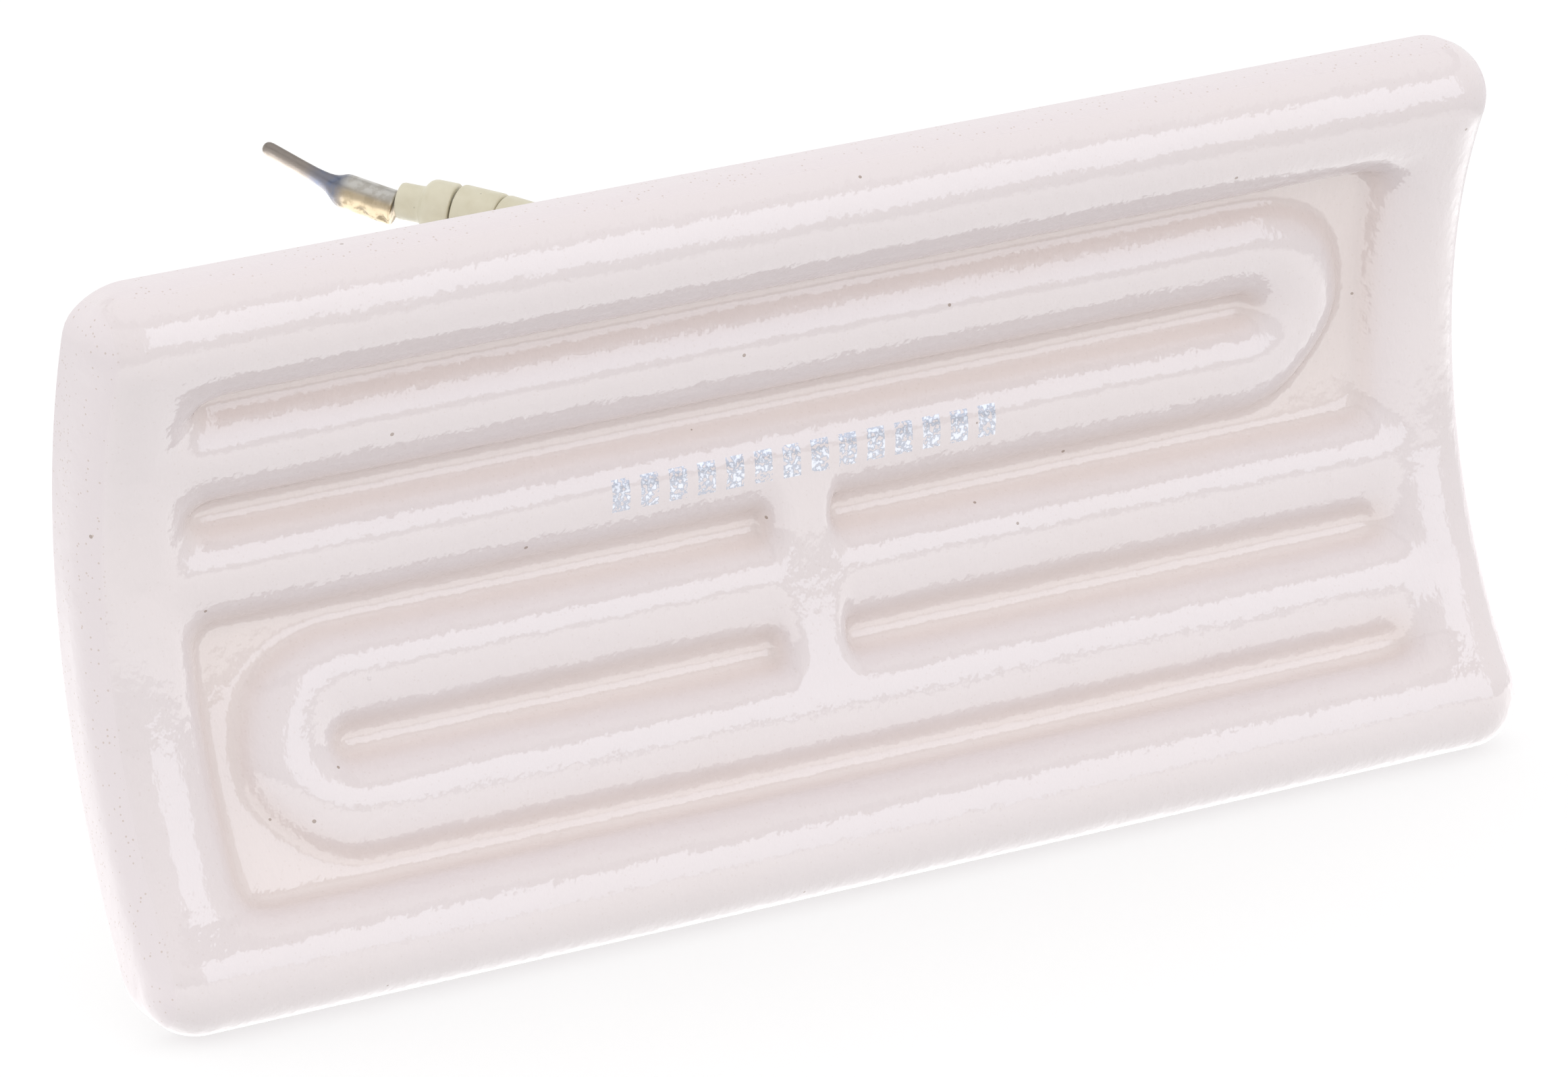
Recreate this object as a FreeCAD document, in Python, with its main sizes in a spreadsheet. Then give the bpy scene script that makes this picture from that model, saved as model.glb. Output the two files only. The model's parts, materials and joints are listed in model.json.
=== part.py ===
import FreeCAD, Part
import math
import os
import Sketcher
from FreeCAD import Placement, Rotation, Vector

# Ceramic infrared heating element with a trough-shaped face, half size.
# X runs along the element, the concave radiating face looks towards -Y, the mounting
# stub stands out towards +Y, and Z runs across the width. The origin is at the middle of the
# stub, on the plane of the reflector seat. All sizes are in millimetres.

doc = FreeCAD.newDocument("ceramic_heating_element")

# Driving sizes
sizes = doc.addObject("Spreadsheet::Sheet", "sizes")
drivingSizes = [
    ("body_length", 122.5, "overall length of the ceramic along X"),
    ("body_width", 60.0, "overall width of the ceramic along Z"),
    ("face_radius", 41.4, "radius of the trough at the crown of the rim"),
    ("body_depth", 8.0, "rim crown to back, at the middle of the width"),
    ("back_radius", 54.0, "radius of the back"),
    ("lip_radius", 4.6, "outer rounding of the long edges"),
    ("end_lip_radius", 4.5, "outer rounding of the two ends and the corners"),
    ("groove_angle", 13.3, "angle between neighbouring grooves about the trough axis"),
    ("field_depth", 2.8, "groove floors below the rim crown"),
    ("field_length", 104.6, "length of the sunk field at its floor"),
    ("slope_radius", 4.6, "inner rounding of the rim along the long sides"),
    ("end_slope_radius", 4.4, "inner rounding of the rim at the two ends"),
    ("ridge_radius", 4.6, "rounding of the ridges that cover the coil"),
    ("ridge_drop", 0.3, "ridge crowns below the rim crown"),
    ("hairpin_offset", 40.2, "centre of each hairpin turn from the middle"),
    ("bridge_radius", 4.4, "rounding of the bridge across the middle"),
    ("bridge_drop", 0.5, "crown of the bridge below the rim crown"),
    ("coil_radius", 1.5, "outer radius of the wound coil, over its corners"),
    ("coil_depth", 5.0, "centre of the coil below the rim crown"),
    ("coil_turn_offset", 49.5, "centre of the coil's end turns from the middle"),
    ("coil_end_offset", 12.5, "ends of the coil from the middle"),
    ("coil_clearance", 0.05, "room round the coil in its channel"),
    ("collar_length", 47.0, "raised seat on the back, along X"),
    ("collar_width", 19.0, "raised seat on the back, along Z"),
    ("seat_height", 9.2, "reflector seat above the rim crown at mid width"),
    ("stub_length", 41.0, "mounting stub along X"),
    ("stub_width", 14.0, "mounting stub along Z"),
    ("stub_height", 13.8, "mounting stub above its seat"),
    ("stub_corner", 5.0, "corner radius of the stub"),
    ("stub_edge", 1.0, "chamfer round the stub's outer end"),
    ("clip_groove_depth", 1.6, "groove for the retaining clip, into each long side"),
    ("clip_groove_width", 2.6, "height of the clip groove"),
    ("clip_groove_gap", 3.4, "clip groove's near side above the seat"),
    ("lead_spread", 14.0, "each lead from the middle, along X"),
    ("lead_shift", 2.8, "each lead from the middle, across the stub"),
    ("lead_sink", 1.0, "depth of the recess that takes the first bead"),
    ("rod_radius", 0.9, "cold rod that joins the coil to its lead"),
    ("rod_clearance", 0.05, "room round a cold rod in its hole"),
    ("rod_gap", 0.02, "end of a cold rod off the coil"),
    ("lead_straight", 14.1, "lead runs straight out of the stub"),
    ("lead_second_x", 12.0, "second bend of the lead"),
    ("lead_second_y", 41.9, "second bend of the lead, from the seat"),
    ("lead_second_z", 7.2, "second bend of the lead"),
    ("lead_third_x", 4.7, "third bend of the lead"),
    ("lead_third_y", 55.7, "third bend of the lead, from the seat"),
    ("lead_third_z", 10.56, "third bend of the lead"),
    ("lead_mouth_x", -2.36, "last bend of the lead, at its terminal's mouth"),
    ("lead_mouth_y", 62.83, "last bend of the lead, from the seat"),
    ("lead_mouth_z", 12.19, "last bend of the lead"),
    ("lead_end_x", -5.26, "end of the lead wire in its terminal"),
    ("lead_end_y", 65.69, "end of the lead wire, from the seat"),
    ("lead_end_z", 13.55, "end of the lead wire"),
    ("wire_radius", 0.6, "lead wire"),
    ("bead_count", 13, "insulating beads on each lead"),
    ("bead_radius", 2.4, "outer radius of an insulating bead"),
    ("bead_pitch", 4.13, "spacing of the beads along the lead"),
    ("bead_gap", 0.35, "gap between two beads"),
    ("bead_clearance", 0.3, "room round the first bead in its recess"),
    ("bore_clearance", 0.3, "room round the wire in a bead"),
    ("end_bead_length", 2.65, "drum of the bead next to the terminal"),
    ("spigot_radius", 1.6, "spigot at the outer end of the end bead"),
    ("spigot_length", 2.5, "length of the spigot"),
    ("barrel_radius", 1.53, "crimped barrel of the pin terminal"),
    ("barrel_length", 5.0, "length of the barrel"),
    ("barrel_gap", 0.3, "barrel mouth past the spigot"),
    ("barrel_offset", 0.75, "barrel's axis off the wire that it grips"),
    ("crimp_clearance", 0.03, "room round the wire in the barrel"),
    ("neck_length", 1.5, "taper between barrel and pin"),
    ("neck_radius", 0.78, "small end of the taper"),
    ("pin_lean", 10.6, "pin bent off the barrel's axis"),
    ("pin_radius", 0.63, "contact pin"),
    ("pin_tip", 0.4, "bevel at the pin's tip"),
    ("pin_length", 7.9, "contact pin from the end of the barrel"),
]
sizes.set("A1", "size")
sizes.set("B1", "millimetres or degrees")
sizes.set("C1", "meaning")
for row, (alias, value, meaning) in enumerate(drivingSizes, start=2):
    sizes.set("A%d" % row, alias)
    sizes.set("B%d" % row, str(value))
    sizes.set("C%d" % row, meaning)
    sizes.setAlias("B%d" % row, alias)
doc.recompute()


def size(alias):
    return float(sizes.get(alias))


def bind(target, prop, expression):
    target.setExpression(prop, expression)


def originPlane(body, role):
    return [plane for plane in body.Origin.OriginFeatures if plane.Role == role][0]


def newSketch(body, name, role, offset=0.0):
    sketch = body.newObject("Sketcher::SketchObject", name)
    sketch.AttachmentSupport = [(originPlane(body, role), "")]
    sketch.MapMode = "FlatFace"
    sketch.AttachmentOffset = Placement(Vector(0, 0, offset), Rotation())
    return sketch


def named(sketch, constraint, name, expression):
    index = sketch.addConstraint(constraint)
    sketch.renameConstraint(index, name)
    sketch.setExpression("Constraints." + name, expression)


def edgeNames(shape, wanted):
    return ["Edge%d" % (i + 1) for i, edge in enumerate(shape.Edges) if wanted(edge)]


def dress(body, base, name, wanted, expression, kind="Fillet", prop="Radius"):
    feature = body.newObject("PartDesign::" + kind, name)
    feature.Base = (base, edgeNames(base.Shape, wanted))
    bind(feature, prop, expression)
    doc.recompute()
    return feature


# The casting's cross-section, with the concave face, rounded lips, walls and the back
casting = doc.addObject("PartDesign::Body", "casting")
bind(casting, "Placement.Base.y", "-sizes.seat_height")
section = newSketch(casting, "section", "YZ_Plane")
faceR = size("face_radius")
lipR = size("lip_radius")
halfW = size("body_width") / 2
lipZ = halfW - lipR
lipY = math.sqrt((faceR + lipR) ** 2 - lipZ ** 2) - faceR
lipAngle = math.atan2(lipZ, lipY + faceR)
backY = size("body_depth") - size("back_radius")
backAngle = math.asin(halfW / size("back_radius"))
wallY = backY + size("back_radius") * math.cos(backAngle)


def arc(centreY, radius, centreZ, start, end):
    circle = Part.Circle(Vector(centreY, centreZ, 0), Vector(0, 0, 1), radius)
    return Part.ArcOfCircle(circle, start, end)


faceArc = section.addGeometry(arc(-faceR, faceR, 0, -lipAngle, lipAngle))
topLip = section.addGeometry(arc(lipY, lipR, lipZ, math.pi / 2, math.pi + lipAngle))
topWall = section.addGeometry(Part.LineSegment(Vector(lipY, halfW, 0), Vector(wallY, halfW, 0)))
backArc = section.addGeometry(arc(backY, size("back_radius"), 0, -backAngle, backAngle))
lowWall = section.addGeometry(Part.LineSegment(Vector(wallY, -halfW, 0), Vector(lipY, -halfW, 0)))
lowLip = section.addGeometry(arc(lipY, lipR, -lipZ, math.pi - lipAngle, 3 * math.pi / 2))
section.addConstraint([
    Sketcher.Constraint("Tangent", faceArc, 2, topLip, 2),
    Sketcher.Constraint("Tangent", topLip, 1, topWall, 1),
    Sketcher.Constraint("Coincident", topWall, 2, backArc, 2),
    Sketcher.Constraint("Coincident", backArc, 1, lowWall, 1),
    Sketcher.Constraint("Tangent", lowWall, 2, lowLip, 2),
    Sketcher.Constraint("Tangent", lowLip, 1, faceArc, 1),
    Sketcher.Constraint("Horizontal", topWall),
    Sketcher.Constraint("Horizontal", lowWall),
    Sketcher.Constraint("PointOnObject", faceArc, 3, -1),
    Sketcher.Constraint("PointOnObject", backArc, 3, -1),
    Sketcher.Constraint("Equal", topLip, lowLip),
])
named(section, Sketcher.Constraint("Radius", faceArc, faceR), "face", "sizes.face_radius")
named(section, Sketcher.Constraint("DistanceX", faceArc, 3, -1, 1, faceR), "axis", "sizes.face_radius")
named(section, Sketcher.Constraint("Radius", topLip, lipR), "lip", "sizes.lip_radius")
named(section, Sketcher.Constraint("Radius", backArc, size("back_radius")), "back", "sizes.back_radius")
named(section, Sketcher.Constraint("DistanceX", backArc, 3, -1, 1, -backY), "depth",
      "sizes.back_radius - sizes.body_depth")
named(section, Sketcher.Constraint("DistanceY", -1, 1, topWall, 1, halfW), "top", "sizes.body_width / 2")
named(section, Sketcher.Constraint("DistanceY", lowWall, 2, -1, 1, halfW), "low", "sizes.body_width / 2")
doc.recompute()

slab = casting.newObject("PartDesign::Pad", "slab")
slab.Profile = section
slab.SideType = "Symmetric"
bind(slab, "Length", "sizes.body_length")
doc.recompute()

# Rounded ends: every edge of the two end faces but the one on the back
halfL = size("body_length") / 2


def onEnd(edge):
    box = edge.BoundBox
    flat = box.XLength < 1e-4 and abs(abs(box.XMin) - halfL) < 1e-4
    onBack = box.YMax > size("body_depth") - 0.01
    return flat and not onBack


dress(casting, slab, "rounded_ends", onEnd, "sizes.end_lip_radius")


# Seat and stub on the back, as rounded rectangles raised from inside the casting
def rectangle(sketch, length, width):
    x, z = size(length) / 2, size(width) / 2
    corners = [Vector(-x, -z, 0), Vector(x, -z, 0), Vector(x, z, 0), Vector(-x, z, 0)]
    for k in range(4):
        sketch.addGeometry(Part.LineSegment(corners[k], corners[(k + 1) % 4]))
    sketch.addConstraint([Sketcher.Constraint("Coincident", k, 2, (k + 1) % 4, 1) for k in range(4)])
    sketch.addConstraint([Sketcher.Constraint("Horizontal", 0), Sketcher.Constraint("Horizontal", 2),
                          Sketcher.Constraint("Vertical", 1), Sketcher.Constraint("Vertical", 3),
                          Sketcher.Constraint("Symmetric", 0, 1, 2, 1, -1, 1)])
    named(sketch, Sketcher.Constraint("Distance", 0, 2 * x), "length", "sizes." + length)
    named(sketch, Sketcher.Constraint("Distance", 1, 2 * z), "width", "sizes." + width)


def raised(name, length, width, height):
    sketch = newSketch(casting, name + "_outline", "XZ_Plane")
    bind(sketch, "AttachmentOffset.Base.z", "-sizes.body_depth / 2")
    rectangle(sketch, length, width)
    doc.recompute()
    pad = casting.newObject("PartDesign::Pad", name)
    pad.Profile = sketch
    pad.Reversed = True
    bind(pad, "Length", height)
    doc.recompute()
    return pad


def uprightCorner(length, width):
    def wanted(edge):
        box = edge.BoundBox
        upright = box.XLength < 1e-4 and box.ZLength < 1e-4 and box.YLength > 0.2
        return (upright and abs(abs(box.XMin) - size(length) / 2) < 1e-4
                and abs(abs(box.ZMin) - size(width) / 2) < 1e-4)
    return wanted


collar = raised("collar", "collar_length", "collar_width", "sizes.seat_height - sizes.body_depth / 2")
dress(casting, collar, "collar_corners", uprightCorner("collar_length", "collar_width"),
      "sizes.stub_corner")
stub = raised("stub", "stub_length", "stub_width",
              "sizes.seat_height + sizes.stub_height - sizes.body_depth / 2")
stubRound = dress(casting, stub, "stub_corners", uprightCorner("stub_length", "stub_width"),
                  "sizes.stub_corner")
tipY = size("seat_height") + size("stub_height")
dress(casting, stubRound, "stub_end", lambda edge: edge.BoundBox.YMin > tipY - 1e-3,
      "sizes.stub_edge", "Chamfer", "Size")

# Clip groove along both long sides of the stub
clipSketch = newSketch(casting, "clip_section", "YZ_Plane")
grooveY = size("seat_height") + size("clip_groove_gap")
grooveZ = size("stub_width") / 2 - size("clip_groove_depth")
reach = size("clip_groove_depth") * 2
for side in (1, -1):
    y0, y1 = grooveY, grooveY + size("clip_groove_width")
    z0, z1 = side * grooveZ, side * (grooveZ + reach)
    first = clipSketch.GeometryCount
    corners = [Vector(y0, z0, 0), Vector(y1, z0, 0), Vector(y1, z1, 0), Vector(y0, z1, 0)]
    for k in range(4):
        clipSketch.addGeometry(Part.LineSegment(corners[k], corners[(k + 1) % 4]))
    clipSketch.addConstraint([Sketcher.Constraint("Coincident", first + k, 2, first + (k + 1) % 4, 1)
                              for k in range(4)])
    clipSketch.addConstraint([Sketcher.Constraint("Horizontal", first),
                              Sketcher.Constraint("Horizontal", first + 2),
                              Sketcher.Constraint("Vertical", first + 1),
                              Sketcher.Constraint("Vertical", first + 3)])
    label = "up" if side > 0 else "down"
    named(clipSketch, Sketcher.Constraint("DistanceX", -1, 1, first, 1, y0), "start_" + label,
          "sizes.seat_height + sizes.clip_groove_gap")
    named(clipSketch, Sketcher.Constraint("Distance", first, y1 - y0), "height_" + label,
          "sizes.clip_groove_width")
    named(clipSketch, Sketcher.Constraint("Distance", first + 1, reach), "reach_" + label,
          "sizes.clip_groove_depth * 2")
    span = (-1, 1, first, 1, grooveZ) if side > 0 else (first, 1, -1, 1, grooveZ)
    named(clipSketch, Sketcher.Constraint("DistanceY", *span), "floor_" + label,
          "sizes.stub_width / 2 - sizes.clip_groove_depth")
doc.recompute()
clipGroove = casting.newObject("PartDesign::Pocket", "clip_grooves")
clipGroove.Profile = clipSketch
clipGroove.SideType = "Symmetric"
bind(clipGroove, "Length", "2 * sizes.stub_length")
doc.recompute()


# Recesses for the first bead of each lead
sinkSketch = newSketch(casting, "lead_circles", "XZ_Plane")
bind(sinkSketch, "AttachmentOffset.Base.z", "-(sizes.seat_height + sizes.stub_height)")
for side, label in ((1, "right"), (-1, "left")):
    x, z = side * size("lead_spread"), side * size("lead_shift")
    sinkRadius = size("bead_radius") + size("bead_clearance")
    index = sinkSketch.addGeometry(Part.Circle(Vector(x, z, 0), Vector(0, 0, 1), sinkRadius))
    pair = (-1, 1, index, 3) if side > 0 else (index, 3, -1, 1)
    named(sinkSketch, Sketcher.Constraint("Radius", index, sinkRadius), "radius_" + label,
          "sizes.bead_radius + sizes.bead_clearance")
    named(sinkSketch, Sketcher.Constraint("DistanceX", *pair, abs(x)), "spread_" + label,
          "sizes.lead_spread")
    named(sinkSketch, Sketcher.Constraint("DistanceY", *pair, abs(z)), "shift_" + label,
          "sizes.lead_shift")
doc.recompute()
volumeBefore = casting.Shape.Volume
sinks = casting.newObject("PartDesign::Pocket", "lead_sinks")
sinks.Profile = sinkSketch
sinks.Reversed = True
bind(sinks, "Length", "sizes.lead_sink")
doc.recompute()
print("lead recesses take away", round(volumeBefore - casting.Shape.Volume, 1), "cubic millimetres")

# The sunk field: a sector of the trough, less everything that stands up in it
turned = "placement(vector(%s; %s; %s); %s)"
alongX = "rotation(vector(0; 1; 0); 90)"
aboutX = "rotation(vector(1; 0; 0); %s) * rotation(vector(1; 1; 1); 120)"
trough = "-sizes.face_radius - sizes.seat_height"
fieldEnd = "(sizes.field_length / 2 + sqrt(2 * sizes.end_slope_radius * sizes.field_depth - sizes.field_depth ^ 2))"
rimAngle = "2.5 * sizes.groove_angle"
ridgeCentre = "(sizes.face_radius + sizes.ridge_drop + sizes.ridge_radius)"


def sector(name, radius):
    # a wedge about the trough's axis, as wide as the field
    wedge = doc.addObject("Part::Cylinder", name)
    bind(wedge, "Radius", radius)
    bind(wedge, "Height", "2 * " + fieldEnd)
    bind(wedge, "Angle", "2 * " + rimAngle)
    bind(wedge, "Placement", turned % ("-" + fieldEnd, trough, "0", aboutX % ("-" + rimAngle)))
    return wedge


def bar(name, radius, centre, angle, start, end):
    # a round bar along X at an angle about the trough
    rod = doc.addObject("Part::Cylinder", name)
    bind(rod, "Radius", radius)
    bind(rod, "Height", "(%s) - (%s)" % (end, start))
    y = "%s * cos(%s) - sizes.face_radius - sizes.seat_height" % (centre, angle)
    z = "%s * sin(%s)" % (centre, angle)
    bind(rod, "Placement", turned % (start, y, z, alongX))
    return rod


def hoop(name, radius, centre, x, low, high):
    # a round bar bent about the trough's axis
    ring = doc.addObject("Part::Torus", name)
    bind(ring, "Radius1", centre)
    bind(ring, "Radius2", radius)
    bind(ring, "Angle3", "(%s) - (%s)" % (high, low))
    bind(ring, "Placement", turned % (x, trough, "0", aboutX % low))
    return ring


def hairpin(name, side):
    # half a ring that joins two ridges, in the plane of their centre lines
    ring = doc.addObject("Part::Torus", name)
    bind(ring, "Radius1", ridgeCentre + " * sin(sizes.groove_angle / 2)")
    bind(ring, "Radius2", "sizes.ridge_radius")
    ring.Angle3 = 180
    middle = ridgeCentre + " * cos(sizes.groove_angle / 2)"
    y = middle + " * cos(sizes.groove_angle) - sizes.face_radius - sizes.seat_height"
    z = "%d * %s * sin(sizes.groove_angle)" % (side, middle)
    flip = "" if side > 0 else " * rotation(vector(0; 1; 0); 180)"
    turn = "rotation(vector(1; 0; 0); %d * sizes.groove_angle)" % side + flip
    x = "%d * sizes.hairpin_offset" % side
    bind(ring, "Placement", turned % (x, y, z, turn + " * rotation(vector(1; 1; 1); 240)"))
    return ring


def joined(name, shapes):
    union = doc.addObject("Part::MultiFuse", name)
    union.Shapes = shapes
    return union


def less(name, base, tool):
    cut = doc.addObject("Part::Cut", name)
    cut.Base = base
    cut.Tool = tool
    return cut


wedge = sector("field_wedge", "sizes.face_radius + sizes.field_depth")
slope = "(sizes.face_radius + sizes.slope_radius)"
endSlope = "(sizes.face_radius + sizes.end_slope_radius)"
bridgeCentre = "(sizes.face_radius + sizes.bridge_drop + sizes.bridge_radius)"
pinOut = "sizes.hairpin_offset"
raisedForms = [
    bar("slope_top", "sizes.slope_radius", slope, rimAngle, "-" + fieldEnd, fieldEnd),
    bar("slope_bottom", "sizes.slope_radius", slope, "-" + rimAngle, "-" + fieldEnd, fieldEnd),
    hoop("slope_left", "sizes.end_slope_radius", endSlope, "-" + fieldEnd, "-" + rimAngle, rimAngle),
    hoop("slope_right", "sizes.end_slope_radius", endSlope, fieldEnd, "-" + rimAngle, rimAngle),
    bar("ridge_1", "sizes.ridge_radius", ridgeCentre, "1.5 * sizes.groove_angle", "-" + fieldEnd, pinOut),
    bar("ridge_2_left", "sizes.ridge_radius", ridgeCentre, "0.5 * sizes.groove_angle", "-" + fieldEnd, pinOut),
    bar("ridge_3_right", "sizes.ridge_radius", ridgeCentre, "-0.5 * sizes.groove_angle", "-" + pinOut, fieldEnd),
    bar("ridge_4", "sizes.ridge_radius", ridgeCentre, "-1.5 * sizes.groove_angle", "-" + pinOut, fieldEnd),
    hairpin("hairpin_right", 1),
    hairpin("hairpin_left", -1),
    hoop("bridge", "sizes.bridge_radius", bridgeCentre, "0", "-1.5 * sizes.groove_angle", "0.5 * sizes.groove_angle"),
]
raisedField = joined("raised_field", raisedForms)
field = less("sunk_field", wedge, raisedField)
doc.recompute()
print("sunk field", field.Shape.isValid(), round(field.Shape.Volume, 1), len(field.Shape.Solids))


# Heating coil, taken as a full eight-sided bar along its windings, and the channel it lies in
coilR = size("face_radius") + size("coil_depth")
pitchArc = coilR * math.radians(size("groove_angle"))
halfPitch = pitchArc / 2


def onCoil(x, across):
    angle = across / coilR
    y = coilR * math.cos(angle) - size("face_radius") - size("seat_height")
    return Vector(x, y, coilR * math.sin(angle))


def sweepRound(x, across, start, end, steps):
    points = []
    for k in range(steps + 1):
        angle = math.radians(start + (end - start) * k / steps)
        points.append(onCoil(x + halfPitch * math.cos(angle), across + halfPitch * math.sin(angle)))
    return points


turnX = size("coil_turn_offset")
hairX = size("hairpin_offset")
half = [onCoil(-size("coil_end_offset"), -halfPitch)]
half += sweepRound(-hairX, -pitchArc, 90, 270, 4)
half += sweepRound(turnX, -pitchArc, -90, 90, 4)
half += sweepRound(halfPitch, 0, 270, 180, 3)[:-1]
other = [Vector(-point.x, point.y, -point.z) for point in reversed(half)]
route = Part.makePolygon(half + [onCoil(0, 0)] + other)
coilRoute = doc.addObject("Part::Feature", "coil_route")
coilRoute.Shape = route


def swept(name, radius, spine, direction):
    outline = doc.addObject("Part::RegularPolygon", name + "_section")
    outline.Polygon = 8
    bind(outline, "Circumradius", radius)
    start = spine.Shape.Vertexes[0].Point
    outline.Placement = Placement(start, Rotation(Vector(0, 0, 1), direction))
    doc.recompute()
    tube = doc.addObject("Part::Sweep", name)
    tube.Sections = [outline]
    tube.Spine = (spine, ["Edge%d" % (k + 1) for k in range(len(spine.Shape.Edges))])
    tube.Solid = True
    tube.Transition = "Right corner"
    doc.recompute()
    return tube


coil = swept("heating_coil", "sizes.coil_radius", coilRoute, half[1] - half[0])
channel = swept("coil_channel", "sizes.coil_radius + sizes.coil_clearance", coilRoute, half[1] - half[0])
print("coil", coil.Shape.isValid(), round(coil.Shape.Volume, 1), round(route.Length, 1))


# Cold rods, from the back of the coil to the foot of each lead
rodX = "%d * sizes.lead_spread"
coilY = "(sizes.face_radius + sizes.coil_depth) * cos(sizes.groove_angle / 2) - sizes.face_radius - sizes.seat_height"
coilZ = "(sizes.face_radius + sizes.coil_depth) * sin(sizes.groove_angle / 2)"
rodFoot = "(%s + sizes.coil_radius + sizes.rod_gap)" % coilY
rodTop = "(sizes.stub_height - sizes.lead_sink)"
rodLean = "atan((sizes.lead_shift - %s) / (%s - %s))" % (coilZ, rodTop, rodFoot)
rodReach = "(%s - %s) / cos(%s)" % (rodTop, rodFoot, rodLean)
rodLength = "%s + sizes.wire_radius * tan(%s) / cos(%s)" % (rodReach, rodLean, rodLean)


def coldRod(name, side, radius, back, length):
    # leans along Z from the coil to the lead, and starts this far back from its foot
    rod = doc.addObject("Part::Cylinder", name)
    bind(rod, "Radius", radius)
    bind(rod, "Height", length)
    y = "%s - %s * cos(%s)" % (rodFoot, back, rodLean)
    z = "%d * (%s - %s * sin(%s))" % (side, coilZ, back, rodLean)
    turn = "rotation(vector(1; 0; 0); -90 deg + %d * %s)" % (side, rodLean)
    bind(rod, "Placement", turned % (rodX % side, y, z, turn))
    return rod


rods = []
rodHoles = []
for side, label in ((-1, "left"), (1, "right")):
    rods.append(coldRod("cold_rod_" + label, side, "sizes.rod_radius", "0", rodLength))
    rodHoles.append(coldRod("rod_hole_" + label, side, "sizes.rod_radius + sizes.rod_clearance",
                            "sizes.coil_radius", rodReach + " + sizes.coil_radius + sizes.lead_sink"))
doc.recompute()

cavities = joined("cavities", [channel] + rodHoles)
hollowed = less("hollowed_casting", casting, cavities)
ceramic = less("ceramic_body", hollowed, field)
doc.recompute()
print("ceramic", ceramic.Shape.isValid(), round(ceramic.Shape.Volume, 1), len(ceramic.Shape.Solids))


# Lead route on the right: straight out of the stub, then four easy bends
def leadPoint(stem):
    return Vector(size(stem + "_x"), size(stem + "_y"), size(stem + "_z"))


leadFoot = Vector(size("lead_spread"), size("stub_height") - size("lead_sink"), size("lead_shift"))
corners = [leadFoot, leadFoot + Vector(0, size("lead_straight"), 0), leadPoint("lead_second"),
           leadPoint("lead_third"), leadPoint("lead_mouth"), leadPoint("lead_end")]


def easedRoute(points):
    # straight runs joined by tangent arcs
    pieces = []
    last = points[0]
    for k in range(1, len(points) - 1):
        before, after = points[k - 1] - points[k], points[k + 1] - points[k]
        short = 0.45 * min(before.Length, after.Length)
        before.normalize()
        after.normalize()
        turn = math.pi - before.getAngle(after)
        enter, leave = points[k] + before * short, points[k] + after * short
        middle = before + after
        middle.normalize()
        radius = short / math.tan(turn / 2)
        top = points[k] + middle * (radius / math.cos(turn / 2) - radius)
        pieces += [Part.LineSegment(last, enter).toShape(), Part.Arc(enter, top, leave).toShape()]
        last = leave
    pieces.append(Part.LineSegment(last, points[-1]).toShape())
    return Part.Wire(pieces)


def along(wire, distance):
    for edge in wire.OrderedEdges:
        if distance <= edge.Length + 1e-9:
            place = edge.getParameterByLength(distance)
            direction = edge.tangentAt(place)
            return edge.valueAt(place), direction
        distance -= edge.Length
    return wire.OrderedEdges[-1].valueAt(wire.OrderedEdges[-1].LastParameter), direction


leadRoute = easedRoute(corners)
barrelMouth = leadRoute.Length - (corners[-1] - corners[-2]).Length
endBead = size("end_bead_length") + size("bead_gap")
beadStart = barrelMouth - (size("barrel_gap") + size("spigot_length") + endBead
                           + (size("bead_count") - 1) * size("bead_pitch"))
print("lead route", round(leadRoute.Length, 2), "first bead starts at", round(beadStart, 2))


def leadTube(route, radius):
    # an eight-sided bar along the route, measured over its corners
    start, direction = along(route, 0)
    points = [Rotation(Vector(0, 0, 1), 45 * k).multVec(Vector(radius, 0, 0)) for k in range(9)]
    outline = Part.makePolygon(points)
    outline.Placement = Placement(start, Rotation(Vector(0, 0, 1), direction))
    return route.makePipeShell([Part.Wire(outline.Edges)], True, False, 0)


def standing(point, direction, side):
    # placement with local Z along the lead; the left lead is the right one turned half round
    placed = Placement(point, Rotation(Vector(0, 0, 1), direction))
    return placed if side > 0 else Placement(Vector(), Rotation(Vector(0, 1, 0), 180)).multiply(placed)


def beadBody(name, length, withSpigot):
    # a bored drum, from its inner end at zero towards the terminal; its bore has eight sides
    drum = doc.addObject("Part::Cylinder", name + "_drum")
    bind(drum, "Radius", "sizes.bead_radius")
    bind(drum, "Height", length)
    if withSpigot:
        spigot = doc.addObject("Part::Cylinder", name + "_spigot")
        bind(spigot, "Radius", "sizes.spigot_radius")
        bind(spigot, "Height", length + " + sizes.spigot_length")
        drum = joined(name + "_solid", [drum, spigot])
    bore = doc.addObject("Part::Prism", name + "_bore")
    bore.Polygon = 8
    bind(bore, "Circumradius", "sizes.wire_radius + sizes.bore_clearance")
    bind(bore, "Height", length + " + sizes.spigot_length")
    return less(name, drum, bore)


# The terminal's own frame: origin at the middle of the barrel's mouth, Z along the barrel
barrelWay = corners[-1] - corners[-2]
barrelWay.normalize()
downward = Vector(0, 0, -1) - barrelWay * Vector(0, 0, -1).dot(barrelWay)
downward.normalize()
barrelPlace = Placement(corners[-2] + downward * size("barrel_offset"),
                        Rotation(downward.cross(barrelWay), downward, barrelWay, "ZYX"))
socketRoute = Part.Wire(leadRoute.OrderedEdges[-2:])


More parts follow.
